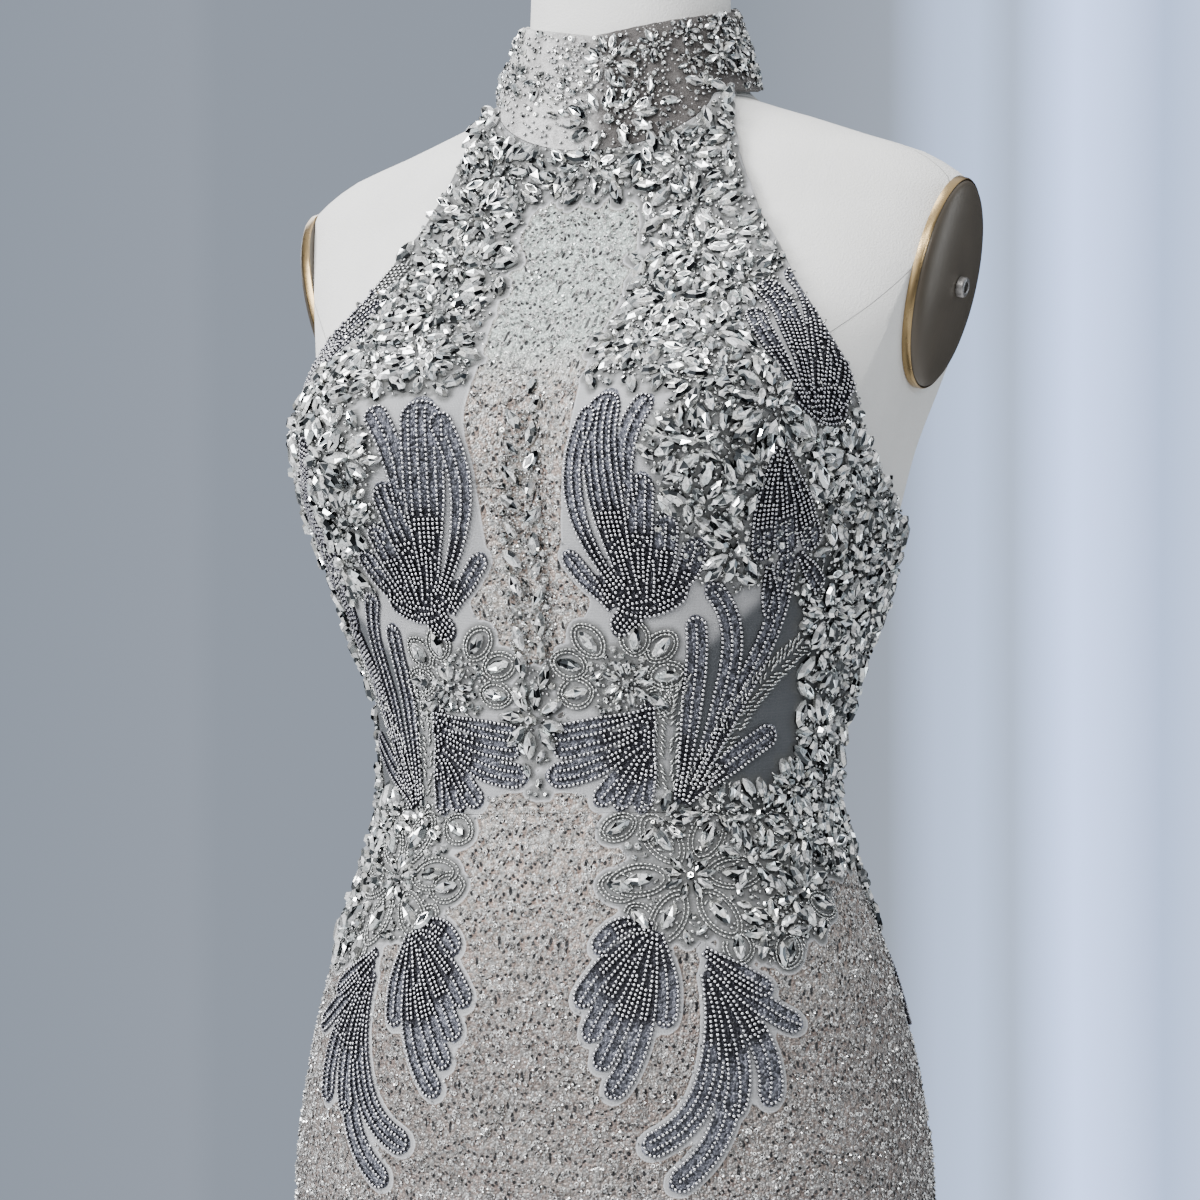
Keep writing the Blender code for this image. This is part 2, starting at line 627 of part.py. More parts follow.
def build_torso(material, root):
    """The covered body, closed at its base and neck, with its arm ends cut flat."""
    around = np.arange(-180.0, 180.0, 2 * COLUMN_STEP)
    deg, z = np.meshgrid(around, form_heights())
    bm = bmesh.new()
    rings = [[bm.verts.new(p) for p in row] for row in form_surface(deg, z)]
    closed = [ring + [ring[0]] for ring in rings]
    grid_faces(bm, closed, False)
    bm.faces.new(rings[0][::-1])
    bm.faces.new(rings[-1])
    torso = add_object("form_torso", bm, material, root)
    for side in (1, -1):
        cut_arm(torso, side)
    return torso


def cut_arm(torso, side):
    """Cut off what lies beyond the arm plate's plane."""
    centre, outward, upward, across = plate_frame(side)
    bm = bmesh.new()
    bmesh.ops.create_cube(bm, size=1.0)
    for vert in bm.verts:
        x, y, z = vert.co
        spot = centre + outward * (0.05 * (x + 0.5)) + across * (0.4 * y) + upward * (0.24 * z)
        vert.co = spot
    cutter = add_object("arm_cutter_" + ("left" if side > 0 else "right"), bm, torso.data.materials[0], None)
    cutter.hide_render = True
    cutter.display_type = "WIRE"
    cut = torso.modifiers.new("arm cut", "BOOLEAN")
    cut.operation = "DIFFERENCE"
    cut.solver = "EXACT"
    cut.object = cutter


def turned(bm, centre, axis, first, second, profile, segments):
    """Rings of an elliptic turning: each profile row is a height and two radii."""
    rings = []
    for height, first_radius, second_radius in profile:
        ring = []
        for i in range(segments):
            angle = 2 * math.pi * i / segments
            spot = centre + axis * height
            spot = spot + first * first_radius * math.cos(angle) + second * second_radius * math.sin(angle)
            ring.append(bm.verts.new(spot))
        rings.append(ring)
    grid_faces(bm, [ring + [ring[0]] for ring in rings], False)
    return rings


def build_arm_plate(side, bronze, chrome, root):
    """A domed oval plate on the cut arm, with a small hollow screw at its centre."""
    word = "left" if side > 0 else "right"
    centre, outward, upward, across = plate_frame(side)
    tall = PLATE_HALF_HEIGHT
    deep = PLATE_HALF_DEPTH
    flat = 1.5 * SCREW_RADIUS
    profile = (
        (0.0, tall - 0.001, deep - 0.001),
        (PLATE_RIM * 0.5, tall, deep),
        (PLATE_RIM, tall - 0.001, deep - 0.001),
        (PLATE_RIM + PLATE_DOME * 0.45, tall * 0.80, deep * 0.80),
        (PLATE_RIM + PLATE_DOME * 0.85, tall * 0.48, deep * 0.48),
        (PLATE_RIM + PLATE_DOME, flat, flat),
    )
    bm = bmesh.new()
    rings = turned(bm, centre + outward * SEAM_GAP, outward, upward, across, profile, 28)
    bm.faces.new(rings[0][::-1])
    bm.faces.new(rings[-1])
    add_object("arm_plate_" + word, bm, bronze, root)
    seat = centre + outward * (2 * SEAM_GAP + PLATE_RIM + PLATE_DOME)
    bm = bmesh.new()
    profile = (
        (SCREW_LENGTH * 0.4, SCREW_HOLE, SCREW_HOLE),
        (SCREW_LENGTH, SCREW_HOLE, SCREW_HOLE),
        (SCREW_LENGTH, SCREW_RADIUS * 0.85, SCREW_RADIUS * 0.85),
        (SCREW_LENGTH * 0.7, SCREW_RADIUS, SCREW_RADIUS),
        (0.0, SCREW_RADIUS, SCREW_RADIUS),
    )
    rings = turned(bm, seat, outward, upward, across, profile, 16)
    bm.faces.new(rings[0])
    bm.faces.new(rings[-1])
    add_object("arm_plate_screw_" + word, bm, chrome, root)


def build_stand(material, root):
    """A pole with a flange under the form, standing on a hub with four flat legs."""
    axes = [np.array(v, float) for v in ((0, 0, 1), (1, 0, 0), (0, 1, 0))]
    foot = LEG_THICKNESS + HUB_HEIGHT + SEAM_GAP
    top = FORM_BOTTOM_Z - SEAM_GAP
    profile = (
        (foot, POLE_RADIUS, POLE_RADIUS),
        (top - FLANGE_THICKNESS - 0.02, POLE_RADIUS, POLE_RADIUS),
        (top - FLANGE_THICKNESS, 1.6 * POLE_RADIUS, 1.6 * POLE_RADIUS),
        (top - FLANGE_THICKNESS, FLANGE_RADIUS, FLANGE_RADIUS),
        (top, FLANGE_RADIUS, FLANGE_RADIUS),
    )
    bm = bmesh.new()
    rings = turned(bm, np.zeros(3), axes[0], axes[1], axes[2], profile, 24)
    bm.faces.new(rings[0])
    bm.faces.new(rings[-1])
    add_object("stand_pole", bm, material, root)

    half = LEG_WIDTH / 2
    reach = LEG_REACH
    corners = []
    for turn in range(4):
        angle = math.pi / 2 * turn
        for along, across in ((half, -half), (reach, -half), (reach, half)):
            x = along * math.cos(angle) - across * math.sin(angle)
            y = along * math.sin(angle) + across * math.cos(angle)
            corners.append((x, y, 0.0))
    bm = bmesh.new()
    cross = bm.faces.new([bm.verts.new(corner) for corner in corners])
    raised_part = bmesh.ops.extrude_face_region(bm, geom=[cross])
    for vert in raised_part["geom"]:
        if isinstance(vert, bmesh.types.BMVert):
            vert.co.z = LEG_THICKNESS
    base = add_object("stand_base", bm, material, root)
    bm = bmesh.new()
    profile = (
        (LEG_THICKNESS / 2, HUB_RADIUS * 0.6, HUB_RADIUS * 0.6),
        (LEG_THICKNESS + HUB_HEIGHT * 0.4, HUB_RADIUS * 0.6, HUB_RADIUS * 0.6),
        (LEG_THICKNESS + HUB_HEIGHT, POLE_RADIUS * 1.25, POLE_RADIUS * 1.25),
    )
    rings = turned(bm, np.zeros(3), axes[0], axes[1], axes[2], profile, 24)
    bm.faces.new(rings[0])
    bm.faces.new(rings[-1])
    hub = add_object("hub_tool", bm, material, None)
    hub.hide_render = True
    hub.display_type = "WIRE"
    join = base.modifiers.new("hub", "BOOLEAN")
    join.operation = "UNION"
    join.solver = "EXACT"
    join.object = hub


# ---- Build --------------------------------------------------------------------------------------------
def build():
    clear_scene()
    root = bpy.data.objects.new("gown_on_form", None)
    bpy.context.collection.objects.link(root)
    cloth = make_material("beaded_net", CLOTH)
    beaded = make_material("beaded_collar", BEADED)
    tape = make_material("zip_tape", ZIP_TAPE)
    cover = make_material("form_cover", COVER)
    bronze = make_material("bronze", BRONZE)
    chrome = make_material("chrome", CHROME)
    iron = make_material("black_iron", IRON)

    build_bodice_front(cloth, root)
    build_bodice_backs(cloth, root)
    build_skirt(cloth, root)
    build_collar(beaded, root)
    build_zip(tape, root)
    build_torso(cover, root)
    for side in (1, -1):
        build_arm_plate(side, bronze, chrome, root)
    build_stand(iron, root)


build()
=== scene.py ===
"""Looks of a beaded halter evening gown on a limbless dress form.

Metres, +Z up, the gown's front faces -Y. Angles go round the body in degrees: 0 at centre front, +90 at the
wearer's left side, 180 at centre back. The pieces come in the order in which the gown is put together.
"""
import json
import math
from collections import namedtuple

import bmesh
import bpy
import numpy as np
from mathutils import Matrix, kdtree

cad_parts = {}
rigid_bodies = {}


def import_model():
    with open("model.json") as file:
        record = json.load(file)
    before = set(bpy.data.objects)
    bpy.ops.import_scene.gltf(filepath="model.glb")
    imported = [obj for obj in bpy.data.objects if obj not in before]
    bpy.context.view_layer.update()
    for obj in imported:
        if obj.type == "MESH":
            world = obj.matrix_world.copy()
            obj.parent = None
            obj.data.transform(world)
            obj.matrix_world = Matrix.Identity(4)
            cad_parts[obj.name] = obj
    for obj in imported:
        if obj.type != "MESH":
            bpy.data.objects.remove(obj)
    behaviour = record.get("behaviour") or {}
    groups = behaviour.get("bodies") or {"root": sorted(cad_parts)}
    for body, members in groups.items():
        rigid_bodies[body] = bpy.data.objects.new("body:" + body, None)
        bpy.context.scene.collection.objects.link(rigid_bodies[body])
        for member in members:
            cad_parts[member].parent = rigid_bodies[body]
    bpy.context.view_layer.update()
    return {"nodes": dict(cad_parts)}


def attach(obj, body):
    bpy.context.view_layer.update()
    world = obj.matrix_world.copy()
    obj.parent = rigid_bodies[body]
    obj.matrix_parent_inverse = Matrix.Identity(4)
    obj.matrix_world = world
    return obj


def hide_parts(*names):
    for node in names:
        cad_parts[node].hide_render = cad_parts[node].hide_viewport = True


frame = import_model()

# ---- Form cover ---------------------------------------------------------------------------------------
# A limbless display torso with a stretched off-white jersey cover. The cover is cut in panels that are sewn
# down the front, over the bust to the shoulders and round the neck, and its arm ends are cut flat.
Section = namedtuple("Section", "z half_width shift front back square")
TORSO = (
    Section(0.780, 0.160, 0.000, 0.108, 0.112, 2.25),
    Section(0.860, 0.167, 0.000, 0.112, 0.126, 2.25),
    Section(0.920, 0.168, 0.000, 0.116, 0.130, 2.25),
    Section(0.980, 0.159, 0.000, 0.116, 0.120, 2.25),
    Section(1.030, 0.146, 0.000, 0.111, 0.105, 2.25),
    Section(1.075, 0.129, 0.000, 0.102, 0.092, 2.25),
    Section(1.120, 0.118, 0.001, 0.094, 0.083, 2.25),
    Section(1.160, 0.121, 0.003, 0.097, 0.086, 2.25),
    Section(1.210, 0.136, 0.007, 0.108, 0.096, 2.25),
    Section(1.260, 0.150, 0.013, 0.117, 0.104, 2.25),
    Section(1.300, 0.158, 0.019, 0.118, 0.110, 2.25),
    Section(1.340, 0.172, 0.027, 0.109, 0.114, 2.25),
    Section(1.375, 0.187, 0.033, 0.092, 0.112, 2.25),
    Section(1.405, 0.194, 0.036, 0.076, 0.104, 2.20),
    Section(1.435, 0.192, 0.036, 0.062, 0.093, 2.05),
    Section(1.454, 0.172, 0.035, 0.057, 0.080, 1.90),
    Section(1.470, 0.129, 0.032, 0.051, 0.072, 1.80),
    Section(1.481, 0.098, 0.030, 0.048, 0.066, 1.85),
    Section(1.490, 0.072, 0.028, 0.047, 0.060, 2.00),
    Section(1.515, 0.056, 0.027, 0.046, 0.053, 2.10),
    Section(1.580, 0.053, 0.026, 0.046, 0.052, 2.10),
)
Bust = namedtuple("Bust", "x z rise inner outer up down")
CUPS = Bust(x=0.090, z=1.306, rise=0.046, inner=0.072, outer=0.056, up=0.050, down=0.062)
CUP_EASE = 0.003
FORM_BUST = CUPS._replace(rise=CUPS.rise - CUP_EASE, inner=CUPS.outer)
FORM_COLUMNS = 180
FORM_ROWS = 150
NECK_SEAM_Z = 1.4905
SEAMS_END_Z = 1.512          # behind the gown's collar
SEAM_HALF_WIDTH = 0.00035
SEAM_DEGREE = 0.13 * math.radians(1.0)   # cover along one degree
FAR = 0.02                   # a distance mark where nothing is near
COVER_COLOUR = (0.88, 0.88, 0.86)

PLATE_CENTRE = (0.172, 0.036, 1.388)
PLATE_TILT = 14.0


def smooth_curve(xs, ys):
    """A monotone cubic through the points (xs, ys), which never overshoots them."""
    xs = np.array(xs, float)
    ys = np.array(ys, float)
    step = np.diff(xs)
    slope = np.diff(ys) / step
    tangent = np.zeros(len(xs))
    tangent[0] = slope[0]
    tangent[-1] = slope[-1]
    for i in range(1, len(xs) - 1):
        if slope[i - 1] * slope[i] > 0:
            before = 2 * step[i] + step[i - 1]
            after = step[i] + 2 * step[i - 1]
            tangent[i] = (before + after) / (before / slope[i - 1] + after / slope[i])

    def curve(x):
        x = np.clip(x, xs[0], xs[-1])
        i = np.clip(np.searchsorted(xs, x) - 1, 0, len(xs) - 2)
        t = (x - xs[i]) / step[i]
        start = (1 + 2 * t) * (1 - t) ** 2 * ys[i] + t * (1 - t) ** 2 * step[i] * tangent[i]
        end = t * t * (3 - 2 * t) * ys[i + 1] + t * t * (t - 1) * step[i] * tangent[i + 1]
        return start + end

    return curve


def column_curves(rows):
    """One curve for each column of a table, over its first column."""
    first = [row[0] for row in rows]
    return [smooth_curve(first, column) for column in list(zip(*rows))[1:]]


def smoothstep(x):
    x = np.clip(x, 0.0, 1.0)
    return x * x * (3 - 2 * x)


def body_surface(sections, bust):
    """A function of angle and height that gives points of the body made from these sections."""
    half_width, shift, front, back, square = column_curves(sections)

    def point(deg, z):
        angle = np.radians(deg)
        z = np.asarray(z, float) + 0 * angle
        sine = np.sin(angle)
        cosine = np.cos(angle)
        power = 2 / square(z)
        x = half_width(z) * np.sign(sine) * np.abs(sine) ** power
        depth = np.where(cosine > 0, front(z), back(z))
        y = shift(z) - depth * np.sign(cosine) * np.abs(cosine) ** power
        side = np.abs(x) - bust.x
        spread = np.where(side < 0, bust.inner, bust.outer)
        height = z - bust.z
        rise = np.where(height > 0, bust.up, bust.down)
        swell = bust.rise * np.exp(-(side / spread) ** 2 - (height / rise) ** 2)
        swell = swell * smoothstep(cosine * 2.5)
        y = y - swell
        x = x + 0.35 * swell * np.sign(x) * np.clip(np.abs(x) / bust.x, 0, 1)
        return np.stack([x, y, z], -1)

    return point


def grid_quads(rows, columns, first=0, closed=False):
    """Vertex numbers of a grid's quads, facing out where rows run up and columns run round the body."""
    i, j = np.meshgrid(np.arange(rows - 1), np.arange(columns - (0 if closed else 1)), indexing="ij")
    k = (j + 1) % columns
    quads = np.stack([i * columns + j, i * columns + k, (i + 1) * columns + k, (i + 1) * columns + j], -1)
    return (quads.reshape(-1, 4) + first).tolist()


def tube_faces(rows, columns):
    """Faces of a closed tube over such a grid: its quads and a cap at each end."""
    ends = list(range(columns))[::-1], list(range((rows - 1) * columns, rows * columns))
    return [*grid_quads(rows, columns, closed=True), *ends]


def new_mesh(name, points, faces):
    mesh = bpy.data.meshes.new(name)
    mesh.from_pydata(np.reshape(points, (-1, 3)).tolist(), [], faces)
    return mesh


def faces_out(mesh, doubles=0.0):
    """Turn a closed mesh's faces outwards, once points nearer than doubles are merged."""
    work = bmesh.new()
    work.from_mesh(mesh)
    if doubles:
        bmesh.ops.remove_doubles(work, verts=work.verts, dist=doubles)
    bmesh.ops.recalc_face_normals(work, faces=work.faces)
    work.to_mesh(mesh)
    work.free()


def mark_points(mesh, key, values, kind="FLOAT", field="value"):
    """An attribute that holds a value, or a vector, for each point of a mesh."""
    layer = mesh.attributes.new(key, kind, "POINT")
    layer.data.foreach_set(field, np.ravel(values).astype(np.float32))


def in_scene(name, data):
    thing = bpy.data.objects.new(name, data)
    bpy.context.collection.objects.link(thing)
    return thing


def add_piece(name, mesh, material, sharp_degrees=35):
    """A smooth-shaded piece in the scene, with its place in its mesh."""
    mesh.name = name
    mesh.materials.clear()
    mesh.materials.append(material)
    mesh.shade_smooth()
    mesh.set_sharp_from_angle(angle=math.radians(sharp_degrees))
    return in_scene(name, mesh)


def plate_frame(side):
    """Centre, outward axis, upward axis and front-to-back axis of an arm plate."""
    tilt = math.radians(PLATE_TILT)
    centre = np.array([side * PLATE_CENTRE[0], PLATE_CENTRE[1], PLATE_CENTRE[2]])
    outward = np.array([side * math.cos(tilt), 0.0, -math.sin(tilt)])
    upward = np.array([side * math.sin(tilt), 0.0, math.cos(tilt)])
    return centre, outward, upward, np.array([0.0, 1.0, 0.0])


class Nodes:
    """A small helper that adds nodes to a new material, or to a tree, and links them."""

    def __init__(self, name, tree=None):
        self.tree = tree
        if tree is None:
            self.material = bpy.data.materials.new(name)
            self.material.use_nodes = True
            self.tree = self.material.node_tree
            self.shader = self.tree.nodes["Principled BSDF"]

    def link(self, value, socket):
        if isinstance(value, bpy.types.NodeSocket):
            self.tree.links.new(value, socket)
        elif value is not None:
            socket.default_value = value

    def add(self, kind, *values, output=0, **settings):
        node = self.tree.nodes.new(kind)
        for key, value in settings.items():
            setattr(node, key, value)
        for value, socket in zip(values, node.inputs):
            self.link(value, socket)
        return node.outputs[output]

    def math(self, operation, a, b=None, c=None):
        return self.add("ShaderNodeMath", a, b, c, operation=operation)

    def times(self, a, b):
        return self.math("MULTIPLY", a, b)

    def minus(self, a, b):
        return self.math("SUBTRACT", a, b)

    def line(self, value, slope, start):
        return self.math("MULTIPLY_ADD", value, slope, start)

    def ramp(self, value, low, high):
        """0 below low, 1 above high and smooth between; low may be the larger."""
        ends = (high, low, 1.0, 0.0) if low > high else (low, high)
        return self.add("ShaderNodeMapRange", value, *ends, interpolation_type="SMOOTHSTEP")

    def blend(self, share, a, b):
        """A number between a and b."""
        return self.add("ShaderNodeMix", share, None, a, b)

    def mix(self, share, a, b):
        """A colour between a and b."""
        node = self.tree.nodes.new("ShaderNodeMix")
        node.data_type = "RGBA"
        self.link(share, node.inputs[0])
        for colour, socket in ((a, node.inputs[6]), (b, node.inputs[7])):
            self.link((*colour, 1.0) if isinstance(colour, tuple) else colour, socket)
        return node.outputs[2]

    def attribute(self, name):
        return self.add("ShaderNodeAttribute", attribute_name=name, output=2)

    def noise(self, vector, scale, detail=2.0, roughness=0.5):
        return self.add("ShaderNodeTexNoise", vector, None, scale, detail, roughness)

    def cells(self, vector, scale, randomness=1.0):
        """Distance from the middle of a pattern's cell, and that middle."""
        node = self.tree.nodes.new("ShaderNodeTexVoronoi")
        node.inputs["Randomness"].default_value = randomness
        node.inputs["Scale"].default_value = scale
        self.link(vector, node.inputs["Vector"])
        return node.outputs["Distance"], node.outputs["Position"]

    def chance(self, vector, output=0):
        """A random number, or a random vector from output 1, for each value of a vector."""
        return self.add("ShaderNodeTexWhiteNoise", vector, output=output, noise_dimensions="3D")

    def parts(self, vector):
        node = self.tree.nodes.new("ShaderNodeSeparateXYZ")
        self.link(vector, node.inputs[0])
        return node.outputs

    def object_place(self):
        return self.add("ShaderNodeTexCoord", output=3)

    def finish(self, colour=None, roughness=None, metallic=None, height=None, depth=0.001, **sockets):
        """Set the shader's sockets and its bump, and return the material."""
        self.link(colour, self.shader.inputs["Base Color"])
        self.link(roughness, self.shader.inputs["Roughness"])
        self.link(metallic, self.shader.inputs["Metallic"])
        for key, value in sockets.items():
            self.shader.inputs[key.replace("_", " ")].default_value = value
        if height is not None:
            bump = self.tree.nodes.new("ShaderNodeBump")
            bump.inputs["Distance"].default_value = depth
            self.link(height, bump.inputs["Height"])
            self.tree.links.new(bump.outputs[0], self.shader.inputs["Normal"])
        return self.material


def jersey_cover():
    """Matt knitted jersey: fine ribs, faint cloudiness and narrow sewn seams."""
    n = Nodes("form_jersey")
    place = n.object_place()
    knit = n.cells(place, 900.0)[0]
    cloud = n.noise(place, 22.0, 4.0, 0.6)
    fibre = n.noise(place, 1400.0, 3.0, 0.7)
    from_seam = FAR
    for seam_name in ("centre_seam", "shoulder_seam", "neck_seam"):
        from_seam = n.math("MINIMUM", n.math("ABSOLUTE", n.attribute(seam_name)), from_seam)
    seam = n.ramp(from_seam, 2.2 * SEAM_HALF_WIDTH, 0.6 * SEAM_HALF_WIDTH)
    base = n.mix(n.ramp(cloud, 0.3, 0.7), (0.82, 0.82, 0.80), COVER_COLOUR)
    base = n.mix(n.times(n.ramp(fibre, 0.45, 0.75), 0.25), base, (0.64, 0.64, 0.62))
    base = n.mix(n.times(seam, 0.45), base, (0.42, 0.42, 0.40))
    height = n.line(fibre, 0.5, n.times(knit, 0.5))
    height = n.minus(height, n.times(seam, 1.8))
    return n.finish(base, 0.85, None, height, 0.00035, Sheen_Weight=0.25, Sheen_Roughness=0.6,
                    Specular_IOR_Level=0.25)


form_surface = body_surface(TORSO, FORM_BUST)
form_angles = np.linspace(-180.0, 180.0, FORM_COLUMNS + 1)[:-1]
form_heights = np.linspace(TORSO[0].z, TORSO[-1].z, FORM_ROWS + 1)
form_deg, form_z = np.meshgrid(form_angles, form_heights)
form_mesh = new_mesh("cover", form_surface(form_deg, form_z), tube_faces(FORM_ROWS + 1, FORM_COLUMNS))
# Signed distances to the seams, which the cover's material turns into narrow sewn lines.
shoulder_line = smooth_curve([0.78, 1.10, 1.30, 1.40, 1.49], [34.0, 40.0, 38.0, 66.0, 88.0])(form_z)
for seam_name, distance in (
    ("centre_seam", form_deg * SEAM_DEGREE),
    ("shoulder_seam", (np.abs(form_deg) - shoulder_line) * SEAM_DEGREE),
    ("neck_seam", form_z - NECK_SEAM_Z),
):
    mark_points(form_mesh, seam_name, np.where(form_z > SEAMS_END_Z, FAR, distance))
work = bmesh.new()
work.from_mesh(form_mesh)
for side in (1, -1):
    centre, outward, upward, across = plate_frame(side)
    whole = list(work.verts) + list(work.edges) + list(work.faces)
    cut = bmesh.ops.bisect_plane(work, geom=whole, dist=1e-6, plane_co=centre.tolist(),
                                 plane_no=outward.tolist(), clear_outer=True)
    rim = [edge for edge in cut["geom_cut"] if isinstance(edge, bmesh.types.BMEdge)]
    cap = bmesh.ops.edgeloop_fill(work, edges=rim)["faces"]
    bmesh.ops.bevel(work, geom=[edge for face in cap for edge in face.edges], offset=0.0012, segments=2,
                    affect="EDGES", clamp_overlap=True)
bmesh.ops.recalc_face_normals(work, faces=work.faces)
work.to_mesh(form_mesh)
work.free()
form_cover = add_piece("form_cover", form_mesh, jersey_cover(), 50)
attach(form_cover, "root")
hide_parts("form_torso")

# ---- Arm plates ---------------------------------------------------------------------------------------
# Domed oval caps over the cut arms: pressed plate with a taupe-bronze lacquer, inside a thin brass ring, held
# by one hollow chromed screw each.
SEAM_GAP = 0.0003
PLATE_HALF_HEIGHT = 0.057
PLATE_HALF_DEPTH = 0.042
PLATE_RIM = 0.004
PLATE_DOME = 0.008
RING_WIDTH = 0.0014
SCREW_RADIUS = 0.0055
SCREW_HOLE = 0.0028
SCREW_LENGTH = 0.004
PLATE_SIDES = 96
SCREW_SIDES = 48


def turned(name, seat, axis, first, second, profile, segments, material):
    """A piece turned round an axis: each profile row is a height and the radii along two directions."""
    turn = np.arange(segments) * 2 * math.pi / segments
    rings = []
    for height, first_radius, second_radius in profile:
        circle = np.outer(np.cos(turn), first) * first_radius + np.outer(np.sin(turn), second) * second_radius
        rings.append(seat + axis * height + circle)
    mesh = new_mesh(name, rings, tube_faces(len(rings), segments))
    faces_out(mesh)
    return add_piece(name, mesh, material, 40)


def lacquered_plate():
    n = Nodes("plate_lacquer")
    place = n.object_place()
    brushed = n.noise(n.add("ShaderNodeMapping", place, None, None, (1.0, 60.0, 6.0)), 30.0, 3.0)
    cloud = n.noise(place, 30.0, 3.0)
    colour = n.mix(cloud, (0.080, 0.066, 0.048), (0.128, 0.108, 0.084))
    roughness = n.line(brushed, 0.2, 0.30)
    return n.finish(colour, roughness, 0.35, brushed, 0.00005, Coat_Weight=0.12, Coat_Roughness=0.3)


def bright_metal(name, colour, roughness):
    """Plated metal with fine handling marks."""
    n = Nodes(name)
    place = n.object_place()
    marks = n.noise(place, 500.0, 3.0)
    shade = n.mix(n.ramp(n.noise(place, 60.0), 0.35, 0.7), colour, tuple(part * 0.8 for part in colour))
    return n.finish(shade, n.line(marks, 0.15, roughness), 1.0, marks, 0.00002)


plate_finish = lacquered_plate()
ring_finish = bright_metal("plate_brass", (0.42, 0.30, 0.15), 0.22)
chrome_finish = bright_metal("screw_chrome", (0.40, 0.39, 0.38), 0.34)
for side, word in ((1, "left"), (-1, "right")):
    centre, outward, upward, across = plate_frame(side)
    seat = centre + outward * SEAM_GAP
    tall = PLATE_HALF_HEIGHT - RING_WIDTH
    deep = PLATE_HALF_DEPTH - RING_WIDTH
    flat = 1.5 * SCREW_RADIUS
    dome = [(0.0, tall, deep), (PLATE_RIM, tall, deep)]
    for share in np.linspace(0.05, 1.0, 12):
        lift = PLATE_RIM + PLATE_DOME * math.sin(share * math.pi / 2)
        spread = math.cos(share * math.pi / 2)
        dome.append((lift, flat + (tall - flat) * spread ** 0.9, flat + (deep - flat) * spread ** 0.9))
    plate = turned("plate_" + word, seat, outward, upward, across, dome, PLATE_SIDES, plate_finish)
    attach(plate, "root")
    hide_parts("arm_plate_" + word)
    bead = [(0.0, 0.0), (RING_WIDTH, 0.0), (RING_WIDTH, PLATE_RIM * 0.9),
            (RING_WIDTH * 0.5, PLATE_RIM * 1.15), (0.0, PLATE_RIM * 0.8)]
    angles = np.arange(PLATE_SIDES) * 2 * math.pi / PLATE_SIDES
    rings = []
    for width, height in bead + bead[:1]:
        rings.append(seat + outward * height + np.outer(np.cos(angles), upward) * (tall + width)
                     + np.outer(np.sin(angles), across) * (deep + width))
    ring_mesh = new_mesh("ring", rings, grid_quads(len(rings), PLATE_SIDES, closed=True))
    faces_out(ring_mesh, doubles=1e-6)
    ring = add_piece("plate_ring_" + word, ring_mesh, ring_finish, 50)
    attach(ring, "root")
    screw_seat = centre + outward * (2 * SEAM_GAP + PLATE_RIM + PLATE_DOME)
    screw_profile = [(SCREW_LENGTH * lift, radius, radius) for lift, radius in (
        (0.35, SCREW_HOLE), (0.95, SCREW_HOLE), (1.0, SCREW_HOLE * 1.12), (1.0, SCREW_RADIUS * 0.80),
        (0.9, SCREW_RADIUS * 0.93), (0.7, SCREW_RADIUS), (0.0, SCREW_RADIUS))]
    screw = turned("screw_" + word, screw_seat, outward, upward, across, screw_profile, SCREW_SIDES,
                   chrome_finish)
    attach(screw, "root")
    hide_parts("arm_plate_screw_" + word)

# ---- Stand --------------------------------------------------------------------------------------------
# An iron pole and a flat cross foot under the form, powder coated in satin black.


def coat_node(name, material):
    """A solid of the frame that shows as it is, in this material."""
    node = frame["nodes"][name]
    node.data.materials.clear()
    node.data.materials.append(material)
    return node


def powder_coat():
    n = Nodes("stand_powder_coat")
    place = n.object_place()
    grain = n.noise(place, 700.0, 2.0)
    dust = n.ramp(n.noise(place, 14.0, 4.0), 0.4, 0.75)
    return n.finish(n.mix(dust, (0.022, 0.022, 0.023), (0.045, 0.044, 0.042)),
                    n.line(grain, 0.2, 0.42), 0.0, grain, 0.00015)


stand_finish = powder_coat()
for node_name in ("stand_pole", "stand_base"):
    coat_node(node_name, stand_finish)

# ---- Cloth plan ---------------------------------------------------------------------------------------
# The gown's net is cut to the body: one smooth surface carries every sewn piece, and the beading is laid out
# on it by angle and height before it is sewn on.
SKIRT = (
    Section(0.012, 0.350, 0.000, 0.335, 0.365, 2.05),
    Section(0.100, 0.300, 0.000, 0.286, 0.314, 2.10),
    Section(0.200, 0.246, 0.000, 0.232, 0.260, 2.15),
    Section(0.300, 0.201, 0.000, 0.188, 0.214, 2.20),
    Section(0.400, 0.170, 0.000, 0.156, 0.182, 2.25),
    Section(0.500, 0.155, 0.000, 0.138, 0.162, 2.25),
    Section(0.600, 0.153, 0.000, 0.129, 0.150, 2.25),
    Section(0.700, 0.158, 0.000, 0.122, 0.142, 2.25),
    Section(0.800, 0.166, 0.000, 0.117, 0.135, 2.25),
    Section(0.860, 0.169, 0.000, 0.116, 0.131, 2.25),
)
WALL = 0.0018
HIP_CLEARANCE = 0.0010
CHEST_CLEARANCE = 0.0030
HIP_LINE_Z = 0.920
HEM_Z = 0.012
HIP_Z = 0.850
WAIST_Z = 1.105
UNDERARM_Z = 1.258
BACK_LOW_Z = 1.142
SIDE_SEAM = 100.0
ZIP_END_Z = 0.930
ZIP_WIDTH = 0.0034
FLUTES = 10
FLUTE_TOP_Z = 0.52
FLUTE_DEPTH = 0.022
BACK_CURVE = 1.6             # power of the open back's cut
CLOTH_DEGREE = 0.0026        # cloth along one degree, near enough for short steps
HalterRow = namedtuple("HalterRow", "front_z edge_deg edge_z")
